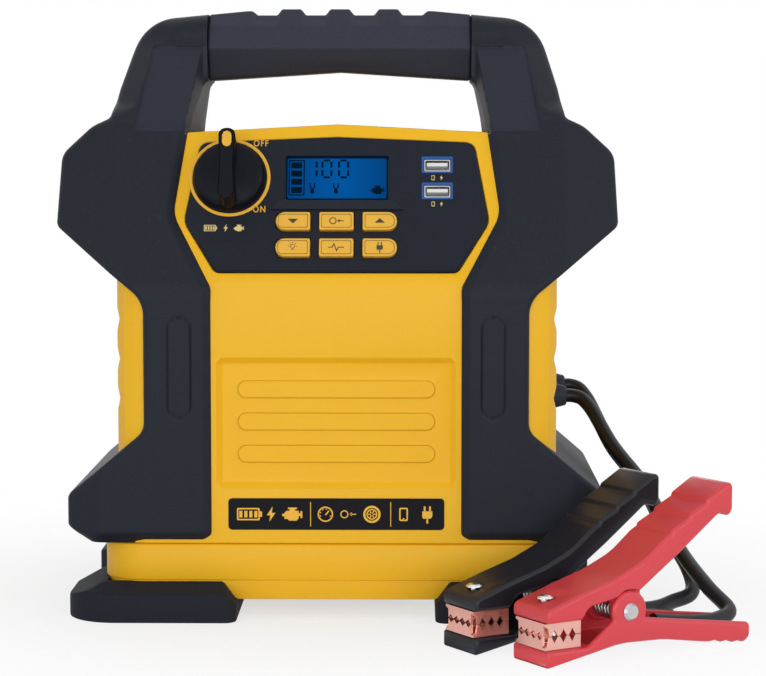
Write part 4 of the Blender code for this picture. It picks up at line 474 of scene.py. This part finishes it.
def frame_shell(name, sign):
    """One half of the frame: on each side a closed form whose rings follow the arch from the foot to the
    handle, and the bar's core between them. A ring runs from the parting plane up the inner wall, over the
    face and down the outer wall. On the face the point is inner + w (outer - inner), and its depth is
    face_depth less a bevel near each edge and a quarter round at the edge itself."""
    outer, inner = along_keys(OUTER_EDGE, OUTER_KEYS), along_keys(INNER_EDGE, INNER_KEYS)
    across = outer - inner
    width = np.linalg.norm(across, axis=1)[:, None]
    inner_lean, outer_lean = leaning(inner, across), leaning(outer, across)
    x, z = outer[:, :1], outer[:, 1:]
    on_post, on_bar = blend(z, 0.252, 0.262), blend(0.098 - x, 0, 0.016) * blend(z, 0.295, 0.303)
    outer_round = 0.0028 + on_bar * 0.006
    inner_round = 0.0016 + on_bar * 0.002
    outer_bevel = 0.003 + 0.009 * on_post * (1 - on_bar)
    inner_bevel = 0.0042 * (1 - blend(inner[:, 1:], 0.246, 0.256))
    share = np.array((0, 0.01, 0.04, 0.1, 0.2, 0.34, 0.5, 0.7, 0.9, 1.15))
    near = share * inner_round / inner_lean
    far = width - (share * outer_round / outer_lean)[:, ::-1]
    middle = np.linspace(0, 1, 74)[None, 1:-1]
    place = np.concatenate([near, near[:, -1:] * (1 - middle) + far[:, :1] * middle, far], axis=1)
    from_inner, from_outer = place * inner_lean, (width - place) * outer_lean
    flat = inner[:, None] + across[:, None] * (place / width)[..., None]
    depth = face_depth(flat[..., 0], flat[..., 1])
    depth -= 0.75 * soft_step(outer_bevel - from_outer, 0.0005) * on_post
    depth -= 0.60 * soft_step(inner_bevel - from_inner, 0.0003)
    for distance, radius in ((from_inner, inner_round), (from_outer, outer_round)):
        into = np.clip(radius - distance, 0, None)
        depth -= radius - np.sqrt(np.clip(radius**2 - into**2, 0, None))
    walls = np.array((0.0, 0.12, 0.35, 0.65, 0.9))[None]
    inner_wall = PARTING + (depth[:, :1] - PARTING) * walls
    outer_wall = PARTING + (depth[:, -1:] - PARTING) * walls[:, ::-1]
    depth = np.concatenate([inner_wall, depth, outer_wall], axis=1)
    sides = walls.shape[1]
    flat = np.concatenate([np.repeat(flat[:, :1], sides, 1), flat, np.repeat(flat[:, -1:], sides, 1)], axis=1)
    right = np.stack([flat[..., 0], sign * depth, flat[..., 1]], -1)
    core = half_section(-0.0025, 0.2795, 0.3040)
    core = np.stack([np.zeros(len(core)), sign * (core[:, 0] + PARTING), core[:, 1]], -1)
    ends = np.array([(-0.0700, 0, 0), (0.0700, 0, 0)])[:, None]
    parts = [loft(right), loft(right * (-1, 1, 1)), loft(core + ends)]
    return piece(name, "pack", CHARCOAL, parts, angle=50)


# painted light on the posts' inlays, mixed into the charcoal finish
paint_light_on_posts(CHARCOAL)
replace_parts(frame_shell("front_frame_shell", -1), "front_frame")
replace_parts(frame_shell("rear_frame_shell", 1), "rear_frame")


def grip_sleeve():
    """The rubber grip: at each place along the bar, the section with its bottom on the window's edge and its
    top on a line of three lands with notches between. Its lowest and highest parts move with those two lines,
    by a share that blend takes from 0 to 1 over a few millimetres."""
    half, low_edge, top_edge = 0.069, 0.2740, 0.3080
    end, pitch = 0.0012, 25.5
    inner = np.linspace(-half + end, half - end, 460)
    x = np.concatenate([[-half, -half + end / 2], inner, [half - end / 2, half]])
    away = np.abs(x)
    low = 0.2770 - 0.0045 * away / 0.0705
    knots = np.array((0, 5, 7.5, pitch - 7.5, pitch - 5, pitch + 5, pitch + 7.5, 43.5, 46, 49, 69)) / 1000
    rise = np.array((310, 310, 306.8, 306.8, 310, 310, 306.8, 306.8, 309, 309, 307.1)) / 1000
    top = sum(np.interp(away + shift, knots, rise) for shift in (-0.0005, -0.00025, 0, 0.00025, 0.0005)) / 5
    section = evenly(half_section(0.0, low_edge, top_edge), 84)
    y, z = section[:, 0][None], section[:, 1][None]
    z = (z + (low[:, None] - low_edge) * (1 - blend(z, low_edge, low_edge + 0.01))
         + (top[:, None] - top_edge) * blend(z, 0.2990, 0.3075))
    inset = np.interp(away, (half - end, half - 0.0004, half), (0, 0.0004, end))[:, None]
    y = y * (1 - inset / 0.0235)
    z = z + inset * (0.5 - blend(z, 0.28, 0.30)) * 2
    x = np.broadcast_to(x[:, None], z.shape)
    front, back = np.stack([x, -y, z], -1), np.stack([x, y, z], -1)
    rows = np.concatenate([front, back[:, -2:0:-1]], axis=1)
    return piece("grip_sleeve", "pack", RUBBER, [loft(rows)], angle=40)


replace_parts(grip_sleeve(), "handle_grip")

# ---------------------------------------------------------------- tray and feet


def ring_at(outline, height):
    return np.column_stack([outline, np.broadcast_to(height, len(outline))])


def tray_plan(grow):
    half, deep, corner = 0.119 + grow, 0.084 + grow, 0.022 + grow
    corners = [(-half, -deep, corner), (half, -deep, corner), (half, deep, corner), (-half, deep, corner)]
    return closed(corners, 20)


def tray():
    """The tray: its rounded plan grown or shrunk at each height, up the outside and down inside."""
    profile = ((-0.0022, 0.0090), (-0.0012, 0.0094), (-0.0010, 0.0100), (-0.0010, 0.0188), (-0.0007, 0.0190),
               (-0.0002, 0.0193), (0.0, 0.0199), (0.0, 0.0366), (-0.0003, 0.0373), (-0.0010, 0.0377),
               (-0.0028, 0.0377), (-0.0030, 0.0374), (-0.0030, 0.0120))
    rows = [ring_at(tray_plan(grow), height) for grow, height in profile]
    return piece("tray_body", "pack", YELLOW, [loft(rows)], angle=40)


def foot_height(x, y):
    """Top of a foot: the lowest of three slanted planes and the flat under the step, with rounded ridges."""
    height = 0.0140 + (0.101 - np.abs(y)) * 0.263
    for plane in (0.0112 + (0.1375 - x) * 0.380, 0.0070 + (x - 0.0490) * 1.333, 0.0185):
        height = height - soft_step(height - plane, 0.00035)
    return height


def foot(name, side):
    """A foot: rings follow its plan, from the flat underside up the wall, round its edge and in over the
    slanted top to the tray, where the form goes down to the tray's floor."""
    plan = closed([
        (0.050, -0.100, 0.006), (0.1365, -0.100, 0.028), (0.1365, -0.047, 0.010), (0.121, -0.022, 0.014),
        (0.121, 0.022, 0.014), (0.1365, 0.047, 0.010), (0.1365, 0.100, 0.028), (0.050, 0.100, 0.006),
    ], 24)
    plan = evenly(np.vstack([plan, plan[:1]]), 420)[:-1]
    ahead = np.roll(plan, -1, axis=0) - np.roll(plan, 1, axis=0)
    out = np.stack([ahead[:, 1], -ahead[:, 0]], -1) / np.linalg.norm(ahead, axis=1)[:, None]
    core = np.stack([np.clip(plan[:, 0], 0.0565, 0.1165), np.clip(plan[:, 1], -0.0815, 0.0815)], -1)
    rim = plan - out * 0.0012
    edge = foot_height(*rim.T)
    rows = [ring_at(plan - out * inset, height) for inset, height in (
        (0.0008, 0.0), (0.0002, 0.0003), (0, 0.0010), (0, edge - 0.0016), (0.0002, edge - 0.0007),
        (0.0006, edge - 0.0002))]
    for share in np.linspace(0, 1, 14):
        at = rim + (core - rim) * share
        rows.append(ring_at(at, foot_height(*at.T)))
    rows.append(ring_at(core, 0.0087))
    return piece(name, "pack", FOOT_RUBBER, [loft(np.array(rows) * (side, 1, 1))], angle=35)


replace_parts(tray(), "base_tray")
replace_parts(foot("left_foot_pad", -1), "left_foot")
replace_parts(foot("right_foot_pad", 1), "right_foot")

# ---------------------------------------------------------------- softened casings

BODY_OF = {name: body for body, names in frame["record"]["behaviour"]["bodies"].items() for name in names}


def softened(source, finish, width=0.0005, crumb=1e-5, turn=28, shade=40, across=None):
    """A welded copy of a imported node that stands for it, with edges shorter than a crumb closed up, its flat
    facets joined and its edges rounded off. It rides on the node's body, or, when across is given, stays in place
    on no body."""
    edit = bmesh.new()
    edit.from_mesh(frame["nodes"][source].data)
    bmesh.ops.remove_doubles(edit, verts=edit.verts, dist=1e-5)
    bmesh.ops.dissolve_degenerate(edit, edges=edit.edges, dist=crumb)
    bmesh.ops.dissolve_limit(edit, angle_limit=math.radians(0.6), verts=edit.verts, edges=edit.edges)
    bmesh.ops.recalc_face_normals(edit, faces=edit.faces)
    mesh = bpy.data.meshes.new(source + "_soft")
    edit.to_mesh(mesh)
    edit.free()
    made = bpy.data.objects.new(source + "_soft", mesh)
    PIECES.objects.link(made)
    mesh.materials.append(finish)
    mesh.shade_smooth()
    mesh.set_sharp_from_angle(angle=math.radians(shade))
    if width:
        edges = made.modifiers.new("edges", "BEVEL")
        edges.width, edges.segments, edges.limit_method = width, 2, "ANGLE"
        edges.angle_limit = math.radians(turn)
        edges.use_clamp_overlap = False
        edges.harden_normals = True
    if across:
        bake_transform(made)
    else:
        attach(made, BODY_OF[source])
    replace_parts(made, source)
    return made


softened("front_housing", YELLOW, 0.0006)
softened("rear_housing", YELLOW, 0.0006)
softened("control_panel", PANEL, 0.00025)
softened("knob", KNOB, 0.0004)
CLAMP_FINISHES = (("red", RED), ("black", CLAMP_BLACK))
PIVOTS = {joint["name"]: np.array(joint["pos_m"]) for joint in frame["joints"] if "_clamp_" in joint["name"]}
BEND_REACH = (0, 0, 0.003)
for prefix, finish in CLAMP_FINISHES:
    pivot = PIVOTS[prefix + "_clamp_open"]
    clamp = [softened(f"{prefix}_{half}_handle", finish, 0.0006, crumb=0.0004) for half in ("lower", "upper")]
    clamp += [softened(f"{prefix}_{half}_rivet", CHROME, 0, shade=75) for half in ("lower", "upper")]
    clamp.append(softened(prefix + "_spring", STEEL, 0, shade=70, across=(
        "pack", prefix + "_clamp_upper", tuple(pivot - BEND_REACH), tuple(pivot + BEND_REACH))))
    clamp += [prefix + part for part in ("_lower_jaw", "_upper_jaw", "_pivot")]

# ---------------------------------------------------------------- prints and pictograms


def onto_slope(points):
    """From the panel's own frame (X along the pack, Y up the slope, Z out of it) to the pack's."""
    lean = math.pi / 2 - TILT
    x, y, z = np.asarray(points, float).T
    return np.stack([x, y * math.cos(lean) - z * math.sin(lean) - HOUSING_FRONT,
                     y * math.sin(lean) + z * math.cos(lean) + SLOPE_START], -1)


def onto_front(points):
    """From a plan of the front face (X, height, distance out of it) to the pack's frame."""
    x, y, z = np.asarray(points, float).T
    return np.stack([x, -HOUSING_FRONT - z, y], -1)


def from_curve(curve, place, lift):
    """Points and faces of a filled curve, lifted along its own Z and put in place; the curve is removed."""
    holder = bpy.data.objects.new("outline", curve)
    bpy.context.scene.collection.objects.link(holder)
    mesh = bpy.data.meshes.new_from_object(holder.evaluated_get(bpy.context.evaluated_depsgraph_get()))
    points = np.empty(3 * len(mesh.vertices))
    mesh.vertices.foreach_get("co", points)
    faces = [tuple(face.vertices) for face in mesh.polygons]
    bpy.data.objects.remove(holder)
    bpy.data.meshes.remove(mesh)
    return place(points.reshape(-1, 3) + (0, 0, lift)), faces


def printed(loops, low, high, place):
    """Flat outlines, with any loop inside another as its hole, from low to high along their own Z."""
    curve = bpy.data.curves.new("outline", "CURVE")
    curve.dimensions, curve.fill_mode, curve.extrude = "2D", "BOTH", (high - low) / 2
    for loop in loops:
        loop = np.asarray(loop, float)
        spline = curve.splines.new("POLY")
        spline.points.add(len(loop) - 1)
        corners = np.column_stack([loop, np.zeros(len(loop)), np.ones(len(loop))])
        spline.points.foreach_set("co", corners.ravel())
        spline.use_cyclic_u = True
    return from_curve(curve, place, (low + high) / 2)


def lettered(word, size, x, y, low, high, place):
    """A word in narrow, widely set letters, centred at (x, y) on its face."""
    curve = bpy.data.curves.new("word", "FONT")
    curve.body, curve.size, curve.extrude = word, size, (high - low) / 2
    curve.align_x, curve.align_y = "CENTER", "CENTER"
    curve.offset, curve.space_character = 0.00005, 1.22
    return from_curve(curve, lambda points: place(points * (0.82, 1, 1) + (x, y, 0)), (low + high) / 2)


def disc(x, y, radius, count=40):
    turn = np.linspace(0, 2 * np.pi, count, endpoint=False)
    return np.stack([x + radius * np.cos(turn), y + radius * np.sin(turn)], -1)


def tile(x, y, width, height, corner=0.0):
    a, b = width / 2, height / 2
    return closed([(x + i * a, y + j * b, corner) for i, j in ((-1, -1), (1, -1), (1, 1), (-1, 1))], 6)


def stroke(points, width):
    """Outline of a line of a given width: each point moved to both sides along its mitre."""
    points = np.asarray(points, float)
    ahead = np.diff(points, axis=0)
    ahead /= np.linalg.norm(ahead, axis=1, keepdims=True)
    side = np.stack([-ahead[:, 1], ahead[:, 0]], -1)
    before, after = np.vstack([side[:1], side]), np.vstack([side, side[-1:]])
    mitre = (before + after) / (1 + (before * after).sum(axis=1, keepdims=True)) * width / 2
    return np.concatenate([points + mitre, (points - mitre)[::-1]])


def placed(loops, x, y, size=1.0):
    """Pictogram loops drawn in millimetres round (0, 0), scaled and moved."""
    return [np.asarray(loop, float) * size * 0.001 + (x, y) for loop in loops]


def framed(loop, width):
    """An outline and the one inside it, scaled about its middle so that the band is about the width."""
    loop = np.asarray(loop, float)
    middle = (loop.max(axis=0) + loop.min(axis=0)) / 2
    half = (loop.max(axis=0) - loop.min(axis=0)) / 2
    return [loop, middle + (loop - middle) * (half - width) / half]


def rays(angles, near, far, width, y=0.0):
    """Short strokes away from (0, y), at the given angles in degrees."""
    turns = [np.array((math.cos(t), math.sin(t))) for t in np.radians(angles)]
    return [stroke([turn * near + (0, y), turn * far + (0, y)], width) for turn in turns]


BOLT = [[(0.7, 3.4), (-1.9, -0.5), (-0.3, -0.5), (-0.8, -3.4), (1.9, 0.6), (0.3, 0.6)]]
BATTERY = framed(tile(0, 0, 11, 6, 0.6), 0.7) + [tile(6.1, 0, 1.0, 2.6)]
BATTERY += [tile(-3.6 + 2.4 * i, 0, 1.5, 3.2) for i in range(4)]
GAUGE = framed(disc(0, 0, 3.4), 0.6) + [stroke([(0, -0.4), (1.5, 1.5)], 0.6)]
GAUGE += [disc(2.3 * math.cos(t), 2.3 * math.sin(t), 0.28, 12) for t in np.radians((200, 160, 120, 80, -20))]
TYRE = framed(disc(0, 0, 4.0), 1.0) + framed(disc(0, 0, 2.5), 0.55) + rays(range(0, 360, 60), 0.5, 1.8, 0.5)
ENGINE = [[
    (-4.4, -1.0), (-3.4, -1.0), (-3.4, -2.2), (-2.0, -2.2), (-1.2, -3.0), (2.2, -3.0), (3.2, -1.8),
    (3.2, -0.8), (4.0, -0.8), (4.0, -1.8), (4.8, -1.8), (4.8, 1.4), (4.0, 1.4), (4.0, 0.4), (3.2, 0.4),
    (3.2, 1.6), (1.6, 1.6), (1.6, 2.4), (2.4, 2.4), (2.4, 3.1), (-1.8, 3.1), (-1.8, 2.4), (-1.0, 2.4),
    (-1.0, 1.6), (-2.4, 1.6), (-3.4, 0.6), (-3.4, 0.2), (-4.4, 0.2),
]]
PLUG = [closed([(-1.9, -1.6, 1.2), (1.9, -1.6, 1.2), (1.9, 1.2, 0.1), (-1.9, 1.2, 0.1)], 6),
        tile(-1.0, 2.2, 0.7, 1.7), tile(1.0, 2.2, 0.7, 1.7), stroke([(0, -1.8), (0, -3.4)], 0.7)]
LAMP = framed(disc(0, 0.5, 1.25), 0.3) + [tile(0, -1.25, 1.1, 0.5)]
LAMP += rays(range(0, 181, 45), 1.75, 2.4, 0.3, 0.5)
PULSE = [stroke([(-3.6, 0), (-1.8, 0), (-1.0, 1.7), (0.2, -1.7), (1.0, 0.0), (3.6, 0.0)], 0.42)]
PUMP = framed(disc(-1.6, 0, 1.7), 0.45)
PUMP += [stroke([(0.6, 0), (3.4, 0)], 0.42), [(0.4, 0), (1.5, 0.9), (1.5, -0.9)]]
PHONE = framed(tile(0, 0, 2.2, 3.4, 0.4), 0.35) + [disc(0, -1.2, 0.25, 12)]
UP, DOWN = [[(-2.0, -0.8), (2.0, -0.8), (0, 1.1)]], [[(2.0, 0.8), (-2.0, 0.8), (0, -1.1)]]
CLIP = [stroke([(side * a, b) for a, b in ((1.4, 3.0), (1.0, 0.6), (0.35, -0.2), (0.9, -2.6))], 0.7)
        for side in (-1, 1)]

INK = plastic("pad_print_yellow", (0.90, 0.47, 0.03), (0.94, 0.52, 0.04), 0.45, dust=0.0, relief=0.03)
PALE_INK = plastic("pad_print_pale", (0.80, 0.60, 0.22), (0.84, 0.66, 0.28), 0.45, dust=0.0, relief=0.03)
DARK_INK = plastic("pad_print_dark", (0.035, 0.022, 0.012), (0.045, 0.03, 0.02), 0.5, dust=0.0, relief=0.03)
LABEL = plastic("label_film", (0.0070, 0.0065, 0.0095), (0.0095, 0.0090, 0.0120), 0.40,
                grain=1200, dust=0.02, relief=0.04, shine=0.08)
LCD_INK = plastic("display_marks", (0.000, 0.009, 0.024), (0.000, 0.012, 0.030), 0.30,
                  dust=0.0, relief=0.02, shine=0.02)

FACE = 0.0006  # the panel's face over the housing's slope
INK_THICK = 0.00006
USB_X, USB_ROWS = 0.0509, (("upper", 0.0663), ("lower", 0.0524))
SCREEN_Y = 0.0596


def print_piece(name, loops, low, finish, place=onto_slope, body="pack", extra=(), thick=INK_THICK):
    return piece(name, body, finish, [printed(loops, low, low + thick, place), *extra])


print_piece("switch_ring", framed(disc(-0.0545, 0.0598, 0.0207, 96), 0.0016), FACE, INK, extra=[
    lettered("OFF", 0.0047, -0.0389, 0.0780, FACE, FACE + INK_THICK, onto_slope),
    lettered("ON", 0.0047, -0.0392, 0.0428, FACE, FACE + INK_THICK, onto_slope),
])
switch_signs = [(BATTERY, -0.0640, 0.55), (BOLT, -0.0560, 0.60), (ENGINE, -0.0495, 0.55)]
loops = [loop for sign, x, size in switch_signs for loop in placed(sign, x, 0.0330, size)]
print_piece("switch_symbols", loops, FACE, PALE_INK)
for label, y in USB_ROWS:
    sign_y = y - 0.0066
    loops = placed(PHONE, USB_X - 0.0021, sign_y, 0.75) + placed(BOLT, USB_X + 0.0021, sign_y, 0.42)
    print_piece("usb_symbol_" + label, loops, FACE, PALE_INK)

# ---------------------------------------------------------------- buttons, apron and sill

KEY_HALF, KEY_TALL, KEY_PITCH, KEY_TOP = 0.00865, 0.00465, 0.0219, 0.0038
APRON_THICK = 0.0006
KEYS = (("button_down", -1, 0.0359, DOWN, 1.3), ("button_air", 0, 0.0359, PUMP, 1.1),
        ("button_up", 1, 0.0359, UP, 1.3), ("button_light", -1, 0.0220, LAMP, 0.9),
        ("button_test", 0, 0.0220, PULSE, 1.1), ("button_usb", 1, 0.0220, PLUG, 0.85))


def key_plan(column, row_y, grow):
    """Outline of a button, half round at the outer side of the end columns."""
    half, tall = KEY_HALF + grow, KEY_TALL + grow
    small, large = 0.0008, tall * 0.98
    left, right = (large if column < 0 else small), (large if column > 0 else small)
    plan = closed([(-half, -tall, left), (half, -tall, right), (half, tall, right), (-half, tall, left)], 12)
    return plan + (KEY_PITCH * column, row_y)


apron_right = [
    (0.0603, 0.0106, 0.003), (0.0693, 0.0255, 0.001), (0.0500, 0.0255, 0.001), (0.0335, 0.0422, 0.001),
]
apron_left = [(-x, y, radius) for x, y, radius in reversed(apron_right)]
holes = [key_plan(column, row_y, 0.0005) for _, column, row_y, _, _ in KEYS]
apron = closed(apron_left[-1:] + apron_right + apron_left[:-1], 6)
apron_plate = printed([apron, *holes], FACE, FACE + APRON_THICK, onto_slope)
piece("panel_apron", "pack", PANEL, [apron_plate])

sill_plan = np.array([(-0.0335, 0.0425), (0.0335, 0.0425), (0.0288, 0.0479), (-0.0288, 0.0479)])
sill_top = onto_slope(np.column_stack([sill_plan, (0.0021, 0.0021, 0.0007, 0.0007)]))
sill_base = onto_slope(np.column_stack([sill_plan, np.full(4, FACE)]))
piece("screen_sill", "pack", CHARCOAL, [loft([sill_base, sill_top])])

for name, column, row_y, mark, size in KEYS:
    border = [key_plan(column, row_y, -0.0011), key_plan(column, row_y, -0.00135)]
    loops = border + placed(mark, KEY_PITCH * column, row_y, size)
    print_piece(name + "_print", loops, KEY_TOP, DARK_INK, body=BODY_OF[name])

# ---------------------------------------------------------------- label and display

LABEL_Y, LABEL_THICK = 0.0531, 0.00025
LABEL_SIGNS = (
    (BATTERY, -0.0445, 1.05), (BOLT, -0.0330, 1.15), (ENGINE, -0.0225, 1.1), (GAUGE, -0.0055, 1.15),
    (PUMP, 0.0060, 1.2), (TYRE, 0.0180, 1.1), (PHONE, 0.0340, 2.0), (PLUG, 0.0460, 1.35),
)
strip = tile(0, 0.05315, 0.1092, 0.0161, 0.002)
print_piece("label_strip", [strip], 0.0, LABEL, onto_front, thick=LABEL_THICK)
signs = [loop for sign, x, size in LABEL_SIGNS for loop in placed(sign, x, LABEL_Y, size)]
signs += [tile(x, LABEL_Y, 0.0004, 0.0125) for x in (-0.0130, 0.0275)]
print_piece("label_signs", signs, LABEL_THICK, INK, onto_front)


def screen_finish():
    """Backlit display film: blue light, brighter towards its middle and lower edge, under a clear gloss."""
    made, tree, shader = new_finish("backlit_blue")
    place = on_object(tree)
    spread = stretched(tree, place, (28.0, 0.0, 16.0), (0.0, 0.0, -3.55))
    glow = node(tree, "ShaderNodeTexGradient", [("Vector", spread)], gradient_type="SPHERICAL").outputs[0]
    level = number(tree, "ADD", glow, number(tree, "MULTIPLY", noise(tree, place, 300.0, 2.0), 0.08))
    tone = mixed(tree, level, (0.000, 0.022, 0.090), (0.000, 0.055, 0.210))
    fill(tree, shader, [("Base Color", tone), ("Emission Color", tone), ("Emission Strength", 0.8),
                        ("Specular IOR Level", 0.02), ("Roughness", 0.15)])
    return made


def lens_finish():
    """Clear lamp lens: glass with moulded pillows as relief and a little cloud in its gloss."""
    made, tree, shader = new_finish("lamp_glass")
    place = on_object(tree)
    values = [("Vector", stretched(tree, place, (1.0, 0.0, 1.0))), ("Scale", 260.0), ("Randomness", 0.0)]
    pillows = node(tree, "ShaderNodeTexVoronoi", values).outputs[0]
    fill(tree, shader, [
        ("Base Color", (0.93, 0.95, 0.96, 1)), ("Transmission Weight", 0.85), ("IOR", 1.49),
        ("Roughness", between(tree, noise(tree, place, 60.0, 3.0), 0.04, 0.14)),
        ("Normal", relief_of(tree, pillows, 0.7, 0.0012, invert=True)),
    ])
    return made


def glow_finish():
    """Blue light that shines out round the USB sockets, a little cloudy."""
    made, tree, shader = new_finish("usb_glow")
    tone = mixed(tree, noise(tree, on_object(tree), 120.0, 2.0), (0.0, 0.030, 0.130), (0.0, 0.060, 0.240))
    fill(tree, shader, [("Base Color", tone), ("Emission Color", tone), ("Emission Strength", 0.7),
                        ("Roughness", 0.3)])
    return made


LCD_LOW, LCD_TOP = -0.0017, -0.0002
film = tile(0, SCREEN_Y, 0.052, 0.023, 0.001)
glass = piece("display_glass", "pack", screen_finish(), [printed([film], LCD_LOW, LCD_TOP, onto_slope)])
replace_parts(glass, "display_lens")

# ends of each bar of a seven-segment figure, on a grid of two stacked squares
SEGMENTS = {"a": (0, 2, 1, 2), "b": (1, 1, 1, 2), "c": (1, 0, 1, 1), "d": (0, 0, 1, 0), "e": (0, 0, 0, 1),
            "f": (0, 1, 0, 2)}


def digit(shown, x, y, width=0.0046, height=0.0045, line=0.0011, inset=0.0007):
    """Seven-segment figure: bars between the corners of two stacked squares, drawn in at their ends."""
    bars = []
    for name in shown:
        x0, y0, x1, y1 = SEGMENTS[name]
        short = np.array((inset, 0) if y0 == y1 else (0, inset))
        start, end = np.array((x + x0 * width, y + y0 * height)), np.array((x + x1 * width, y + y1 * height))
        bars.append(stroke([start + short, end - short], line))
    return bars


shown = digit("bc", -0.0150, 0.0602) + digit("abcdef", -0.0075, 0.0602) + digit("abcdef", 0.0010, 0.0602)
shown += framed(tile(-0.0205, 0.0600, 0.0082, 0.0190, 0.0006), 0.0006)
shown += [tile(-0.0205, 0.0534 + 0.0044 * level, 0.0055, 0.0032) for level in range(4)]
shown += placed(CLIP, -0.0125, 0.0542, 0.95) + placed(CLIP, -0.0005, 0.0542, 0.95)
shown += placed(ENGINE, 0.0205, 0.0535, 0.75) + framed(tile(0, SCREEN_Y, 0.0519, 0.0229, 0.001), 0.0008)
print_piece("display_marks", shown, LCD_TOP, LCD_INK)

GLOW = glow_finish()
for label, y in USB_ROWS:
    band = [tile(USB_X, y + 0.0003, 0.0158, 0.0088, 0.0006), tile(USB_X, y, 0.0137, 0.0068, 0.0005)]
    print_piece("usb_glow_" + label, band, FACE, GLOW, thick=0.0002)

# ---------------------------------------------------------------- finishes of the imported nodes

NODE_FINISHES = [
    (YELLOW, "front_housing rear_housing base_tray"), (CHARCOAL, "front_frame rear_frame"),
    (RUBBER, "handle_grip charge_cover red_gland black_gland"), (FOOT_RUBBER, "left_foot right_foot"),
    (PANEL, "control_panel display_lens"), (BOARD, "display_module main_board"),
    (STEEL, "usb_socket_lower usb_socket_upper compressor_motor battery_terminal_plus"),
    (STEEL, "battery_terminal_minus"),
    (WHITE, "usb_tongue_lower usb_tongue_upper"), (KNOB, "knob"),
    (BUTTON, "button_down button_air button_up button_light button_test button_usb knob_pointer"),
    (DARK, "switch_body battery compressor_fan charge_inlet"), (BRASS, "hose_outlet"),
    (ALUMINIUM, "compressor_crankcase compressor_cylinder"), (CHROME, "lamp_reflector"),
    (lens_finish(), "lamp_lens"),
]
for prefix, finish in CLAMP_FINISHES:
    NODE_FINISHES += [
        (finish, f"{prefix}_lower_handle {prefix}_upper_handle"),
        (COPPER, f"{prefix}_lower_jaw {prefix}_upper_jaw"),
        (CHROME, f"{prefix}_lower_rivet {prefix}_upper_rivet"),
        (STEEL, f"{prefix}_pivot {prefix}_spring"),
    ]
for finish, names in NODE_FINISHES:
    for name in names.split():
        mesh = frame["nodes"][name].data
        mesh.materials.clear()
        mesh.materials.append(finish)

# ---------------------------------------------------------------- floor and light


def seen_by_eye(tree):
    """1 on a ray from the camera, a mirror or glass, and 0 on one that only carries light."""
    rays = node(tree, "ShaderNodeLightPath").outputs
    mirrored = number(tree, "MAXIMUM", rays["Is Glossy Ray"], rays["Is Transmission Ray"])
    return number(tree, "MAXIMUM", rays["Is Camera Ray"], mirrored)


def stage_floor(reach=6.0):
    """A wide pale floor: what the camera, a mirror or glass sees far from the pack is plain white, and near
    it the lit floor with the pack's soft shadow."""
    mesh = bpy.data.meshes.new("floor")
    corners = [(-reach, -reach, 0), (reach, -reach, 0), (reach, reach, 0), (-reach, reach, 0)]
    mesh.from_pydata(corners, [], [(0, 1, 2, 3)])
    floor = bpy.data.objects.new("floor", mesh)
    bpy.context.scene.collection.objects.link(floor)
    made, tree, shader = new_finish("floor")
    fill(tree, shader, [("Base Color", (0.90, 0.90, 0.90, 1)), ("Roughness", 0.7),
                        ("Specular IOR Level", 0.2)])
    away = stretched(tree, on_object(tree), (2.2, 2.6, 0.0))
    near = node(tree, "ShaderNodeTexGradient", [("Vector", away)], gradient_type="QUADRATIC_SPHERE")
    lit = number(tree, "MULTIPLY", near.outputs[0], 0.5, clamp=True)
    far = number(tree, "SUBTRACT", 1.0, lit, clamp=True)
    white = node(tree, "ShaderNodeEmission", [("Color", (1, 1, 1, 1)), ("Strength", 1.0)])
    share = number(tree, "MULTIPLY", seen_by_eye(tree), far)
    surface = node(tree, "ShaderNodeMixShader", [(0, share), (1, shader.outputs[0]), (2, white.outputs[0])])
    tree.links.new(surface.outputs[0], tree.nodes["Material Output"].inputs["Surface"])
    mesh.materials.append(made)


def area_light(name, place, aim, size, power):
    lamp = bpy.data.lights.new(name, "AREA")
    lamp.shape = "RECTANGLE"
    lamp.size, lamp.size_y = size
    lamp.energy = power
    made = bpy.data.objects.new(name, lamp)
    made.location = place
    made.rotation_euler = (Vector(aim) - Vector(place)).to_track_quat("-Z", "Y").to_euler()
    bpy.context.scene.collection.objects.link(made)


stage_floor()
area_light("top_light", (-0.1, -0.35, 1.5), (0, 0, 0.1), (1.0, 0.8), 1.0)
area_light("left_light", (-1.5, -1.0, 0.45), (0, 0, 0.15), (0.8, 0.9), 2.0)
area_light("right_light", (1.5, -0.8, 0.65), (0, 0, 0.15), (0.8, 1.0), 4.0)
area_light("front_light", (0.1, -2.3, 0.45), (0, 0, 0.15), (2.4, 0.7), 18.0)
area_light("back_light", (-0.4, 2.2, 0.9), (0, 0, 0.15), (1.8, 0.8), 9.0)

SKY_LIGHT = 0.40  # what the world lights with; the eye sees 1
world = bpy.data.worlds.new("studio")
bpy.context.scene.world = world
world.use_nodes = True
tree = world.node_tree
sky = tree.nodes["Background"]
sky.inputs["Color"].default_value = (1, 1, 1, 1)
extra = number(tree, "MULTIPLY", seen_by_eye(tree), 1 - SKY_LIGHT)
tree.links.new(number(tree, "ADD", SKY_LIGHT, extra), sky.inputs["Strength"])

bpy.context.scene.view_settings.view_transform = "Standard"
